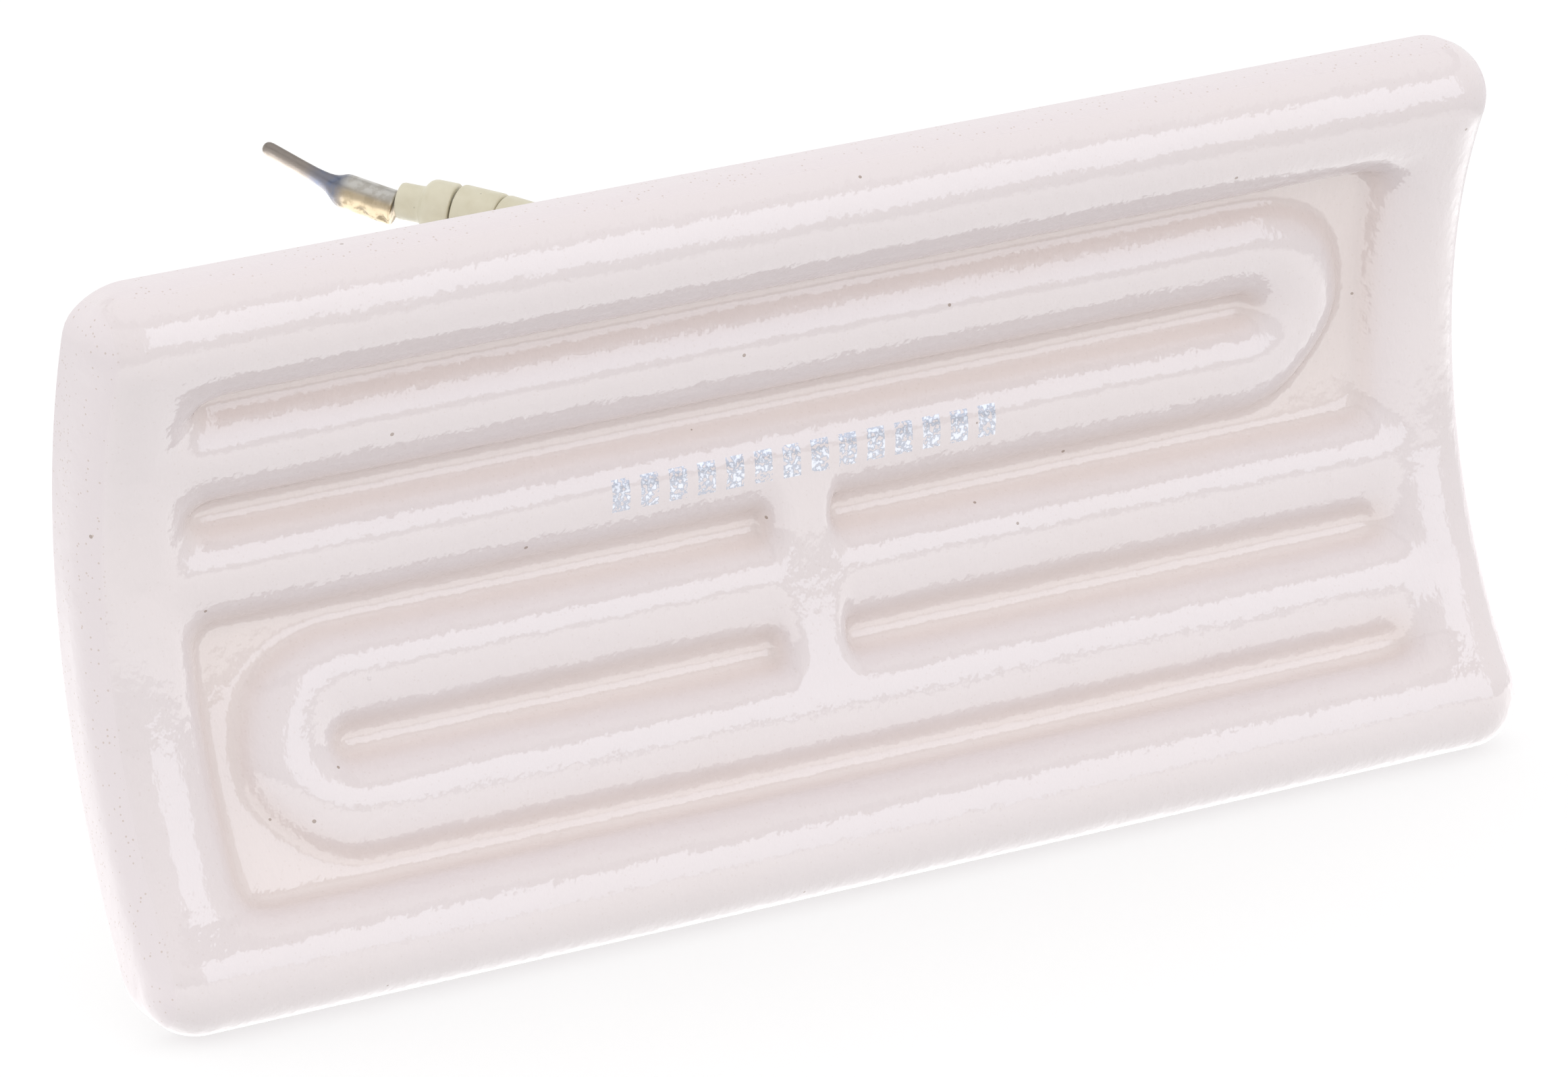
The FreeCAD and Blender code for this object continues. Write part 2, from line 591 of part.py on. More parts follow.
def terminalBody(name):
    # barrel, neck and bevelled pin, less the room for the wire, which enters off the barrel's axis
    barrel = doc.addObject("Part::Cylinder", name + "_barrel")
    bind(barrel, "Radius", "sizes.barrel_radius")
    bind(barrel, "Height", "sizes.barrel_length")
    neck = doc.addObject("Part::Cone", name + "_neck")
    bind(neck, "Radius1", "sizes.barrel_radius")
    bind(neck, "Radius2", "sizes.neck_radius")
    bind(neck, "Height", "sizes.neck_length")
    bind(neck, "Placement.Base.z", "sizes.barrel_length")
    pin = doc.addObject("Part::Cylinder", name + "_pin")
    bind(pin, "Radius", "sizes.pin_radius")
    bind(pin, "Height", "sizes.pin_length - sizes.pin_tip")
    tip = doc.addObject("Part::Cone", name + "_tip")
    bind(tip, "Radius1", "sizes.pin_radius")
    bind(tip, "Radius2", "sizes.pin_radius / 2")
    bind(tip, "Height", "sizes.pin_tip")
    for part, reach in ((pin, "0"), (tip, "(sizes.pin_length - sizes.pin_tip)")):
        y = "-%s * sin(sizes.pin_lean)" % reach
        z = "sizes.barrel_length + %s * cos(sizes.pin_lean)" % reach
        bind(part, "Placement", turned % ("0", y, z, "rotation(vector(1; 0; 0); sizes.pin_lean)"))
    socket = doc.addObject("Part::Feature", name + "_socket")
    room = size("wire_radius") + size("crimp_clearance")
    socket.Shape = leadTube(socketRoute, room / math.cos(math.pi / 8))
    socket.Placement = barrelPlace.inverse()
    return less(name, joined(name + "_solid", [barrel, neck, pin, tip]), socket)


nodes = {"ceramic_body": ceramic, "heating_coil": coil, "cold_rod_left": rods[0], "cold_rod_right": rods[1]}
count = int(size("bead_count"))
for side, label in ((-1, "left"), (1, "right")):
    halfTurn = Placement(Vector(), Rotation(Vector(0, 1, 0), 180 if side < 0 else 0))
    wire = doc.addObject("Part::Feature", "lead_wire_" + label)
    wire.Shape = leadTube(leadRoute, size("wire_radius"))
    wire.Placement = halfTurn
    nodes[wire.Name] = wire
    for k in range(count):
        atEnd = k == count - 1
        length = size("end_bead_length") if atEnd else size("bead_pitch") - size("bead_gap")
        expression = "sizes.end_bead_length" if atEnd else "sizes.bead_pitch - sizes.bead_gap"
        bead = beadBody("bead_%s_%02d" % (label, k + 1), expression, atEnd)
        point, direction = along(leadRoute, beadStart + k * size("bead_pitch") + length / 2)
        bead.Placement = standing(point - direction * (length / 2), direction, side)
        nodes[bead.Name] = bead
    terminal = terminalBody("terminal_pin_" + label)
    terminal.Placement = halfTurn.multiply(barrelPlace)
    nodes[terminal.Name] = terminal
doc.recompute()

# Checks, then one file for each piece
for item in doc.Objects:
    if "Invalid" in item.State or "Error" in item.State:
        raise RuntimeError("%s is %s" % (item.Name, item.State))

os.makedirs("parts", exist_ok=True)
for name, item in nodes.items():
    shape = item.Shape
    if shape.isNull() or not shape.isValid() or len(shape.Solids) != 1:
        raise RuntimeError(name + " has no sound single solid")
    item.Label = name
    shape.exportStep("parts/" + name + ".step")
    box = shape.BoundBox
    print("%-18s %9.1f mm3  x %.2f..%.2f  y %.2f..%.2f  z %.2f..%.2f" % (
        name, shape.Volume, box.XMin, box.XMax, box.YMin, box.YMax, box.ZMin, box.ZMax))
print(len(nodes), "pieces")
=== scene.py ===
import bpy
import bmesh
import json
import math
import numpy as np
from mathutils import Matrix, Vector

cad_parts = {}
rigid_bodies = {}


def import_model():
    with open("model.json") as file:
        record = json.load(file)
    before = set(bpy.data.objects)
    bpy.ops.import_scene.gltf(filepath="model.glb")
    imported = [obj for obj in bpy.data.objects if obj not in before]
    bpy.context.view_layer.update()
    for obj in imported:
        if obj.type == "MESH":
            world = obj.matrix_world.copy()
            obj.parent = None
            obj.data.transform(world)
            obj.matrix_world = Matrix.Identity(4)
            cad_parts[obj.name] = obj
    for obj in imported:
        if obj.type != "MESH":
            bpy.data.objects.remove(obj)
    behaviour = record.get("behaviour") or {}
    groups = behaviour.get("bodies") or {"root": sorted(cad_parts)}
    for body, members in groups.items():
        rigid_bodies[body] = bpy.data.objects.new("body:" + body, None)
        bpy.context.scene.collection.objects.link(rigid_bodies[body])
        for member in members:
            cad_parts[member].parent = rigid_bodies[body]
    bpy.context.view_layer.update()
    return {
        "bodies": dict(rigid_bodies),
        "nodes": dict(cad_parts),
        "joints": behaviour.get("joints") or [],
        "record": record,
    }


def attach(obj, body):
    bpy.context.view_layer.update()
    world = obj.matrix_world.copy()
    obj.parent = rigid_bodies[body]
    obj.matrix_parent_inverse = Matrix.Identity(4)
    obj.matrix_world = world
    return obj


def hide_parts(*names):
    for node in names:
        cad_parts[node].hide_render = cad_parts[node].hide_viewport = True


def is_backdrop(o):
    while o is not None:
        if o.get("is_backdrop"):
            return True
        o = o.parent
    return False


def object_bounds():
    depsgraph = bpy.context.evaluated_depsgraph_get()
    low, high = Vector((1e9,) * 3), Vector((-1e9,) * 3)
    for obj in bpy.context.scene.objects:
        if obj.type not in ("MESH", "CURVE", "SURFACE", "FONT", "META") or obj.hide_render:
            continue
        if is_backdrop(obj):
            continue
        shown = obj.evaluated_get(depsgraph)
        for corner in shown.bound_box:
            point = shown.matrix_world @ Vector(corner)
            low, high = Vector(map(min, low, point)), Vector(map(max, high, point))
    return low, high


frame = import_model()
mm = 0.001

# Driving sizes of the element, in millimetres, as the CAD has them
element = dict(length=122.5, width=60.0, seatHeight=9.2, faceRadius=41.4, bodyDepth=8.0,
               backRadius=54.0, lipRadius=4.6, endRadius=4.5, backEdge=0.8)
faceApexY = -element["seatHeight"]


# Small helpers
def meshPiece(name, points, faces, slot, material):
    mesh = bpy.data.meshes.new(name)
    mesh.from_pydata([tuple(p) for p in points], [], [tuple(int(i) for i in f) for f in faces])
    mesh.update()
    piece = bpy.data.objects.new(name, mesh)
    bpy.context.scene.collection.objects.link(piece)
    mesh.materials.append(material)
    for polygon in mesh.polygons:
        polygon.use_smooth = True
    if slot:
        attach(piece, "root")
    return piece


def newMaterial(name):
    material = bpy.data.materials.new(name)
    material.use_nodes = True
    tree = material.node_tree
    return material, tree, tree.nodes["Principled BSDF"]


def addNode(tree, kind, **values):
    node = tree.nodes.new(kind)
    for key, value in values.items():
        if hasattr(node, key):
            setattr(node, key, value)
        else:
            node.inputs[key].default_value = value
    return node


def addMath(tree, operation, first, second=0.0, clamp=False):
    # a maths node; a socket is linked, a number is typed in
    node = tree.nodes.new("ShaderNodeMath")
    node.operation = operation
    node.use_clamp = clamp
    for place, value in zip(node.inputs, (first, second)):
        if isinstance(value, bpy.types.NodeSocket):
            tree.links.new(value, place)
        else:
            place.default_value = value
    return node.outputs[0]


def addRange(tree, value, low, high, toLow=0.0, toHigh=1.0):
    # a smooth step of the value from low to high
    node = tree.nodes.new("ShaderNodeMapRange")
    node.interpolation_type = "SMOOTHSTEP"
    for name, number in (("From Min", low), ("From Max", high), ("To Min", toLow), ("To Max", toHigh)):
        node.inputs[name].default_value = number
    tree.links.new(value, node.inputs["Value"])
    return node.outputs[0]


def addMix(tree, factor, first, second):
    # a colour mix; a socket is linked, a colour or number is typed in
    node = tree.nodes.new("ShaderNodeMix")
    node.data_type = "RGBA"
    for name, value in (("Factor", factor), ("A", first), ("B", second)):
        place = node.inputs[name]
        if isinstance(value, bpy.types.NodeSocket):
            tree.links.new(value, place)
        else:
            place.default_value = value
    return node.outputs["Result"]


def makeSpeckGroup():
    # small round specks, scattered by cells; the mask is 1 on a speck
    tree = bpy.data.node_groups.new("specks", "ShaderNodeTree")
    tree.interface.new_socket("Vector", in_out="INPUT", socket_type="NodeSocketVector")
    for name, value in (("Scale", 500.0), ("Size", 0.1), ("Share", 0.2)):
        socket = tree.interface.new_socket(name, in_out="INPUT", socket_type="NodeSocketFloat")
        socket.default_value = value
    tree.interface.new_socket("Mask", in_out="OUTPUT", socket_type="NodeSocketFloat")
    given, result = tree.nodes.new("NodeGroupInput"), tree.nodes.new("NodeGroupOutput")
    cells = addNode(tree, "ShaderNodeTexVoronoi", feature="F1")
    tree.links.new(given.outputs["Vector"], cells.inputs["Vector"])
    tree.links.new(given.outputs["Scale"], cells.inputs["Scale"])
    near = addMath(tree, "LESS_THAN", cells.outputs["Distance"], given.outputs["Size"])
    parts = tree.nodes.new("ShaderNodeSeparateColor")
    tree.links.new(cells.outputs["Color"], parts.inputs[0])
    chosen = addMath(tree, "LESS_THAN", parts.outputs[0], given.outputs["Share"])
    tree.links.new(addMath(tree, "MULTIPLY", near, chosen), result.inputs["Mask"])
    return tree


specks = makeSpeckGroup()


def addSpecks(tree, vector, scale, size, share):
    node = tree.nodes.new("ShaderNodeGroup")
    node.node_tree = specks
    tree.links.new(vector, node.inputs["Vector"])
    for name, value in (("Scale", scale), ("Size", size), ("Share", share)):
        node.inputs[name].default_value = value
    return node.outputs["Mask"]


# Camera, fitted to the outline of the element in the photograph
cameraView = dict(yaw=25.478, pitch=16.398, roll=-4.139, aimRight=1.995, aimUp=1.714,
                  pixelsPerMm=18.6815, distance=708.18, photoWidth=2323)


def makeCamera(v):
    yaw, pitch, roll = (math.radians(v[k]) for k in ("yaw", "pitch", "roll"))
    forward = Vector((math.sin(yaw) * math.cos(pitch), math.cos(yaw) * math.cos(pitch), -math.sin(pitch)))
    level = forward.cross(Vector((0, 0, 1))).normalized()
    upright = level.cross(forward)
    right = math.cos(roll) * level + math.sin(roll) * upright
    up = -math.sin(roll) * level + math.cos(roll) * upright
    place = Vector((0, faceApexY, 0)) - forward * v["distance"] - right * v["aimRight"] - up * v["aimUp"]
    data = bpy.data.cameras.new("productCamera")
    data.sensor_fit = "HORIZONTAL"
    data.sensor_width = 36
    data.lens = 36 * v["pixelsPerMm"] * v["distance"] / v["photoWidth"]
    data.clip_start, data.clip_end = 0.01, 20
    camera = bpy.data.objects.new("productCamera", data)
    bpy.context.scene.collection.objects.link(camera)
    camera.matrix_world = Matrix((
        (right.x, up.x, -forward.x, place.x * mm),
        (right.y, up.y, -forward.y, place.y * mm),
        (right.z, up.z, -forward.z, place.z * mm),
        (0, 0, 0, 1)))
    bpy.context.scene.camera = camera
    return camera


camera = makeCamera(cameraView)
print("camera ready")

# Glaze: cream and glossy on the face, dull and speckled on the outer walls, with a row of silver bars
glazeLook = dict(pale=(0.780, 0.712, 0.718, 1), warm=(0.784, 0.700, 0.680, 1),
                 wall=(0.790, 0.722, 0.735, 1),
                 speck=(0.30, 0.22, 0.17, 1), dust=(0.50, 0.38, 0.30, 1),
                 # the pale silver is painted glints in the bars
                 silver=(0.38, 0.40, 0.46, 1), silverPaintedGlint=(0.66, 0.68, 0.74, 1),
                 roughness=0.07, wallRoughness=0.42,
                 poolLow=0.8, poolHigh=2.6, poolWidth=(22.5, 25.0), poolLength=(55.0, 57.0),
                 bumps=[(53.7, -9.2, 4.6, 0.40, 0.10), (48.4, -8.8, 3.5, 0.30, 0.08),
                        (-29.6, -9.3, 6.1, 0.32, 0.10), (-26.1, -9.3, 5.7, 0.28, 0.09),
                        (-38.8, -9.3, -5.6, 0.28, 0.10),
                        (-52.7, -11.3, -20.6, 0.60, 0.12), (-51.3, -11.6, -21.2, 0.50, 0.10),
                        (-60.2, -21.0, 27.2, 1.00, 0.20), (-57.8, -19.2, 26.6, 0.70, 0.15)],
                 waveHeight=0.26, rippleHeight=0.075, fineHeight=0.004,
                 barStart=-16.9, barEnd=18.0, barLow=3.5, barHigh=6.2, barPitch=2.5, barShare=0.62)


def makeGlaze(look):
    material, tree, shader = newMaterial("creamGlaze")
    links = tree.links
    place = addNode(tree, "ShaderNodeTexCoord").outputs["Object"]
    parts = addNode(tree, "ShaderNodeSeparateXYZ")
    links.new(place, parts.inputs[0])
    x, y, z = parts.outputs
    # outer walls
    side = addRange(tree, addMath(tree, "ABSOLUTE", z), 29.1 * mm, 29.8 * mm)
    end = addRange(tree, addMath(tree, "ABSOLUTE", x), 59.3 * mm, 60.1 * mm)
    wall = addMath(tree, "MAXIMUM", side, end)
    # body colour
    clouds = addNode(tree, "ShaderNodeTexNoise", Scale=45.0, Detail=2.0)
    links.new(place, clouds.inputs["Vector"])
    # warmer where the glaze pools: depth is measured from the trough's own radius
    toAxis = addMath(tree, "ADD", y, (element["faceRadius"] + element["seatHeight"]) * mm)
    across = addMath(tree, "SQRT", addMath(tree, "ADD", addMath(tree, "MULTIPLY", toAxis, toAxis),
                                           addMath(tree, "MULTIPLY", z, z)))
    shallow, deep = (element["faceRadius"] + look[k] for k in ("poolLow", "poolHigh"))
    pooled = addRange(tree, across, shallow * mm, deep * mm)
    for value, (low, high) in ((z, look["poolWidth"]), (x, look["poolLength"])):
        inside = addRange(tree, addMath(tree, "ABSOLUTE", value), low * mm, high * mm, 1.0, 0.0)
        pooled = addMath(tree, "MULTIPLY", pooled, inside)
    cloudy = addRange(tree, clouds.outputs["Fac"], 0.35, 0.65, -0.15, 0.15)
    colour = addMix(tree, addMath(tree, "ADD", pooled, cloudy, True), look["pale"], look["warm"])
    colour = addMix(tree, wall, colour, look["wall"])
    # specks: few and dark on the face, many and pale on the walls
    dust = addSpecks(tree, place, 3000.0, 0.27, 0.16)
    dustShare = addMath(tree, "MULTIPLY", dust, addRange(tree, wall, 0.0, 1.0, 0.10, 0.5))
    colour = addMix(tree, dustShare, colour, look["dust"])
    dark = addSpecks(tree, place, 330.0, 0.055, 0.16)
    darkShare = addMath(tree, "MULTIPLY", dark, 0.75)
    colour = addMix(tree, darkShare, colour, look["speck"])
    # silver bars on the second ridge, with painted glints in pale spots
    span = addMath(tree, "SUBTRACT", x, look["barStart"] * mm)
    beat = addMath(tree, "FRACT", addMath(tree, "DIVIDE", span, look["barPitch"] * mm))
    bars = addMath(tree, "LESS_THAN", beat, look["barShare"])
    for value, low, high in ((x, look["barStart"], look["barEnd"]), (z, look["barLow"], look["barHigh"])):
        over = addMath(tree, "GREATER_THAN", value, low * mm)
        under = addMath(tree, "LESS_THAN", value, high * mm)
        bars = addMath(tree, "MULTIPLY", bars, addMath(tree, "MULTIPLY", over, under))
    bars = addMath(tree, "MULTIPLY", bars, addMath(tree, "LESS_THAN", y, -5 * mm))
    grain = addNode(tree, "ShaderNodeTexNoise", Scale=2600.0, Detail=3.0)
    links.new(place, grain.inputs["Vector"])
    bars = addMath(tree, "MULTIPLY", bars, addRange(tree, grain.outputs["Fac"], 0.40, 0.48))
    # painted glints: pale spots mixed into the silver bars
    paintedGlints = addRange(tree, grain.outputs["Fac"], 0.50, 0.62)
    colour = addMix(tree, bars, colour, addMix(tree, paintedGlints, look["silver"], look["silverPaintedGlint"]))
    links.new(colour, shader.inputs["Base Color"])
    links.new(addMath(tree, "MULTIPLY", bars, 0.3), shader.inputs["Metallic"])
    rough = addRange(tree, wall, 0.0, 1.0, look["roughness"], look["wallRoughness"])
    rough = addMath(tree, "ADD", rough, addMath(tree, "MULTIPLY", bars, 0.25))
    links.new(rough, shader.inputs["Roughness"])
    shader.inputs["IOR"].default_value = 1.52
    # relief: slow waves, finer ripples drawn out across the ridges, and grain on the walls
    waves = addNode(tree, "ShaderNodeTexNoise", Scale=160.0, Detail=2.0)
    links.new(place, waves.inputs["Vector"])
    drawn = addNode(tree, "ShaderNodeMapping")
    drawn.inputs["Scale"].default_value = (1.0, 0.7, 0.7)
    links.new(place, drawn.inputs["Vector"])
    ripples = addNode(tree, "ShaderNodeTexNoise", Scale=1350.0, Detail=2.0)
    links.new(drawn.outputs[0], ripples.inputs["Vector"])
    fine = addNode(tree, "ShaderNodeTexNoise", Scale=3600.0, Detail=1.0)
    links.new(place, fine.inputs["Vector"])
    height = addMath(tree, "MULTIPLY", waves.outputs["Fac"], look["waveHeight"])
    rippled = addMath(tree, "MULTIPLY", ripples.outputs["Fac"], look["rippleHeight"])
    height = addMath(tree, "ADD", height, rippled)
    grainHeight = addRange(tree, wall, 0.0, 1.0, look["fineHeight"], 3 * look["fineHeight"])
    height = addMath(tree, "ADD", height, addMath(tree, "MULTIPLY", fine.outputs["Fac"], grainHeight))
    for spotX, spotY, spotZ, spotRadius, spotHeight in look["bumps"]:
        away = addNode(tree, "ShaderNodeVectorMath", operation="DISTANCE")
        tree.links.new(place, away.inputs[0])
        away.inputs[1].default_value = (spotX * mm, spotY * mm, spotZ * mm)
        spot = addRange(tree, away.outputs["Value"], 0.0, spotRadius * mm, spotHeight, 0.0)
        height = addMath(tree, "ADD", height, spot)
    bump = addNode(tree, "ShaderNodeBump", Distance=0.001, Strength=1.0)
    links.new(height, bump.inputs["Height"])
    links.new(bump.outputs["Normal"], shader.inputs["Normal"])
    return material


glaze = makeGlaze(glazeLook)

# Ceramic body: closed cross-section loops from end to end, with the ridged field sunk into the face
body = dict(step=0.42, acrossStep=0.30, lipSteps=14, wallSteps=7, backSteps=54, endSteps=12,
            floorDepth=3.2, floorTilt=0.25, fieldHalfLength=56.4, ridgeRadius=4.8, ridgeDrop=0.3,
            groovePitch=math.radians(13.3), grooveShift=0.7, hairpinOffset=40.2, grooveEnd=3.7, endRun=2.6,
            blend=2.4, cornerBlend=4.0)


def relief(distance, radius, drop, floor, reach):
    # depth across a rounded form whose side runs out through a hollow fillet to the floor at this reach
    lean = 2 * np.arctan((floor - drop) / reach)
    fillet = np.maximum(reach / np.sin(lean) - radius, 0.2)
    turn = radius * np.sin(lean)
    near = np.minimum(np.abs(distance), turn)
    far = np.clip(reach - np.abs(distance), 0, fillet)
    crown = drop + radius - np.sqrt(radius ** 2 - near ** 2)
    hollow = floor - fillet + np.sqrt(fillet ** 2 - far ** 2)
    return np.where(np.abs(distance) < turn, crown, hollow)


def blendMin(a, b, width):
    # the smaller distance, with a rounded change from one to the other
    share = np.maximum(width - np.abs(a - b), 0) / width
    return np.minimum(a, b) - share * share * width / 4


def fieldDepth(x, angle, b):
    # depth of the face below the rim crown
    radius = element["faceRadius"] + b["ridgeDrop"] + b["ridgeRadius"]
    pitch = radius * b["groovePitch"]
    s = radius * angle
    s = s + b["grooveShift"] * np.where(np.abs(s) < 2.5 * pitch, np.cos(math.pi * s / pitch) ** 2, 0)
    floor = b["floorDepth"] + b["floorTilt"] * s / (2.5 * pitch)
    reach = pitch / 2
    # distances from the crests of the rim and of the ridges
    ends, sides = b["fieldHalfLength"] - np.abs(x), 2.5 * pitch - np.abs(s)
    turns = []
    for side in (1, -1):
        u, v = side * x - b["hairpinOffset"], side * s - pitch
        turns.append(np.abs(np.hypot(np.maximum(u, 0), v) - pitch / 2))
    ridges = np.minimum(*turns)
    corner = np.clip(0.5 + 0.25 * (ridges - sides), 0, 1)
    corner = corner * (1 - np.clip(np.minimum(sides, ends) / reach, 0, 1))
    near = blendMin(np.minimum(ridges, sides), ends, b["blend"] + b["cornerBlend"] * corner)
    # the bridge is where the two grooves across it end
    across = np.minimum(np.abs(s), np.abs(s + pitch))
    run = np.maximum(b["grooveEnd"] - np.abs(x), 0) * reach / b["endRun"]
    over = reach - np.hypot(run, across)
    bridged = (np.abs(s + pitch / 2) < pitch) & (np.abs(x) < 3 * b["grooveEnd"])
    near = np.maximum(np.where(bridged, np.minimum(near, over), near), 0)
    rim = np.clip(0.5 + 0.5 * (ridges - np.minimum(ends, sides)) / b["blend"], 0, 1)
    return np.maximum(relief(near, b["ridgeRadius"], b["ridgeDrop"] * (1 - rim), floor, reach), 0)


def bodyLoop(x, b):
    # one closed loop in the YZ plane, anticlockwise seen from the right-hand end
    e = element
    halfWidth, lip, face = e["width"] / 2, e["lipRadius"], e["faceRadius"]
    lipZ = halfWidth - lip
    lipY = math.sqrt((face + lip) ** 2 - lipZ ** 2) - face
    lipAngle = math.atan2(lipZ, lipY + face)
    past = max(abs(x) - (e["length"] / 2 - e["endRadius"]), 0)
    inset = e["endRadius"] - math.sqrt(max(e["endRadius"] ** 2 - past ** 2, 0))
    count = int(round(2 * lipAngle * face / b["acrossStep"]))
    angles = np.linspace(-lipAngle, lipAngle, count + 1)
    depth = fieldDepth(np.full_like(angles, x), angles, b) + inset
    front = np.stack([(face + depth) * np.cos(angles) - face, (face + depth) * np.sin(angles)], 1)
    turns = np.linspace(math.pi + lipAngle, math.pi / 2, b["lipSteps"] + 1)[1:]
    upperLip = np.stack([lipY + (lip - inset) * np.cos(turns), lipZ + (lip - inset) * np.sin(turns)], 1)
    edge = e["backEdge"]
    overrun = max(abs(x) - (e["length"] / 2 - edge), 0)
    backR = e["backRadius"] - (edge - math.sqrt(max(edge ** 2 - overrun ** 2, 0)))
    centre = e["bodyDepth"] - e["backRadius"]
    cornerZ = halfWidth - inset - edge
    cornerY = centre + math.sqrt((backR - edge) ** 2 - cornerZ ** 2)
    cornerAngle = math.atan2(cornerZ, cornerY - centre)
    wallY = np.linspace(lipY, cornerY, b["wallSteps"] + 1)[1:]
    upperWall = np.stack([wallY, np.full_like(wallY, halfWidth - inset)], 1)
    arc = np.linspace(math.pi / 2, cornerAngle, 5)[1:]
    upperEdge = np.stack([cornerY + edge * np.cos(arc), cornerZ + edge * np.sin(arc)], 1)
    sweep = np.linspace(cornerAngle, -cornerAngle, b["backSteps"] + 1)[1:-1]
    back = np.stack([centre + backR * np.cos(sweep), backR * np.sin(sweep)], 1)
    upper = np.concatenate([upperLip, upperWall, upperEdge])
    lower = upper[::-1] * np.array([1, -1])
    return np.concatenate([front, upper, back, lower])


def makeBody(b):
    halfLength = element["length"] / 2
    straight = halfLength - element["endRadius"]
    middle = np.linspace(-straight, straight, int(round(2 * straight / b["step"])) + 1)
    ramp = straight + element["endRadius"] * np.sin(np.linspace(0, math.pi / 2, b["endSteps"] + 1)[1:])
    stations = np.concatenate([-ramp[::-1], middle, ramp])
    loops = [bodyLoop(x, b) for x in stations]
    size = len(loops[0])
    points = []
    for x, loop in zip(stations, loops):
        points += [(x * mm, (y + faceApexY) * mm, z * mm) for y, z in loop]
    faces = []
    for i in range(len(stations) - 1):
        for k in range(size):
            n = (k + 1) % size
            faces.append((i * size + k, (i + 1) * size + k, (i + 1) * size + n, i * size + n))
    for first, outward in ((0, -1), ((len(stations) - 1) * size, 1)):
        loop = list(range(first, first + size))
        faces.append(loop if outward < 0 else loop[::-1])
    piece = meshPiece("glazedBody", points, faces, "body_glaze", glaze)
    return piece


glazedBody = makeBody(body)
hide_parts("ceramic_body")
print("body ready", len(glazedBody.data.polygons))

# Seat and mounting stub: rounded rectangles stacked from inside the back to the stub's end
mount = dict(collarLength=47.0, collarWidth=19.0, stubLength=41.0, stubWidth=14.0, corner=5.0, height=13.8,
             endRound=1.0, seatRound=0.5, root=-4.0, clipStart=3.4, clipEnd=6.0, clipHalf=5.4, spread=14.0,
             shift=2.8, sinkRadius=2.7, sinkDepth=1.0)


def roundedRectangle(length, width, corner, limit, steps=8):
    # one loop of (x, z), with z held within the limit
    loop = []
    for k, (sx, sz) in enumerate(((1, 1), (-1, 1), (-1, -1), (1, -1))):
        for i in range(steps + 1):
            turn = math.pi / 2 * (k + i / steps)
            x = sx * (length / 2 - corner) + corner * math.cos(turn)
            z = sz * (width / 2 - corner) + corner * math.sin(turn)
            loop.append((x, max(-limit, min(limit, z))))
    return loop


def makeStub(m):
    free = 1e3
    r, e = m["seatRound"], m["endRound"]
    collar, stub = (m["collarLength"], m["collarWidth"]), (m["stubLength"], m["stubWidth"])
    levels = [(m["root"], collar, 0, free)]
    for k in range(4):
        turn = math.pi / 2 * k / 3
        levels.append((-r + r * math.sin(turn), collar, r - r * math.cos(turn), free))
    for k in range(3):
        turn = math.pi / 2 * k / 2
        levels.append((r - r * math.cos(turn), stub, -r + r * math.sin(turn), free))
    for y, limit in ((m["clipStart"], free), (m["clipStart"], m["clipHalf"]), (m["clipEnd"], m["clipHalf"]),
                     (m["clipEnd"], free)):
        levels.append((y, stub, 0, limit))
    for k in range(6):
        turn = math.pi / 2 * k / 5
        levels.append((m["height"] - e + e * math.sin(turn), stub, e - e * math.cos(turn), free))
    mesh = bmesh.new()
    rings = []
    for y, (length, width), inset, limit in levels:
        loop = roundedRectangle(length - 2 * inset, width - 2 * inset, m["corner"] - inset, limit)
        rings.append([mesh.verts.new((x * mm, y * mm, z * mm)) for x, z in loop])
    count = len(rings[0])
    for low, high in zip(rings, rings[1:]):
        for k in range(count):
            mesh.faces.new((low[k], low[(k + 1) % count], high[(k + 1) % count], high[k]))
    mesh.faces.new(rings[0][::-1])
    edges = [mesh.edges.get((rings[-1][k], rings[-1][(k + 1) % count])) for k in range(count)]
    for side in (1, -1):
        sinks = []
        for depth in (0, m["sinkDepth"]):
            ring = []
            for k in range(32):
                turn = 2 * math.pi * k / 32
                ring.append(mesh.verts.new(((side * m["spread"] + m["sinkRadius"] * math.cos(turn)) * mm,
                                            (m["height"] - depth) * mm,
                                            (side * m["shift"] + m["sinkRadius"] * math.sin(turn)) * mm)))
            sinks.append(ring)
        for k in range(32):
            n = (k + 1) % 32
            mesh.faces.new((sinks[0][k], sinks[0][n], sinks[1][n], sinks[1][k]))
            edges.append(mesh.edges.get((sinks[0][k], sinks[0][n])))
        mesh.faces.new(sinks[1])
    bmesh.ops.triangle_fill(mesh, use_beauty=True, use_dissolve=False, edges=edges)
    bmesh.ops.recalc_face_normals(mesh, faces=mesh.faces)
    piece = meshPiece("mountingStub", [], [], "body_glaze", glaze)
    mesh.to_mesh(piece.data)
    mesh.free()
    for polygon in piece.data.polygons:
        polygon.use_smooth = True
    piece.data.set_sharp_from_angle(angle=math.radians(32))
    return piece


makeStub(mount)
print("stub ready")

# Pale bead ceramic
beadLook = dict(colour=(0.68, 0.64, 0.50, 1), dark=(0.62, 0.575, 0.43, 1), speck=(0.36, 0.33, 0.24, 1),
                roughness=0.38)


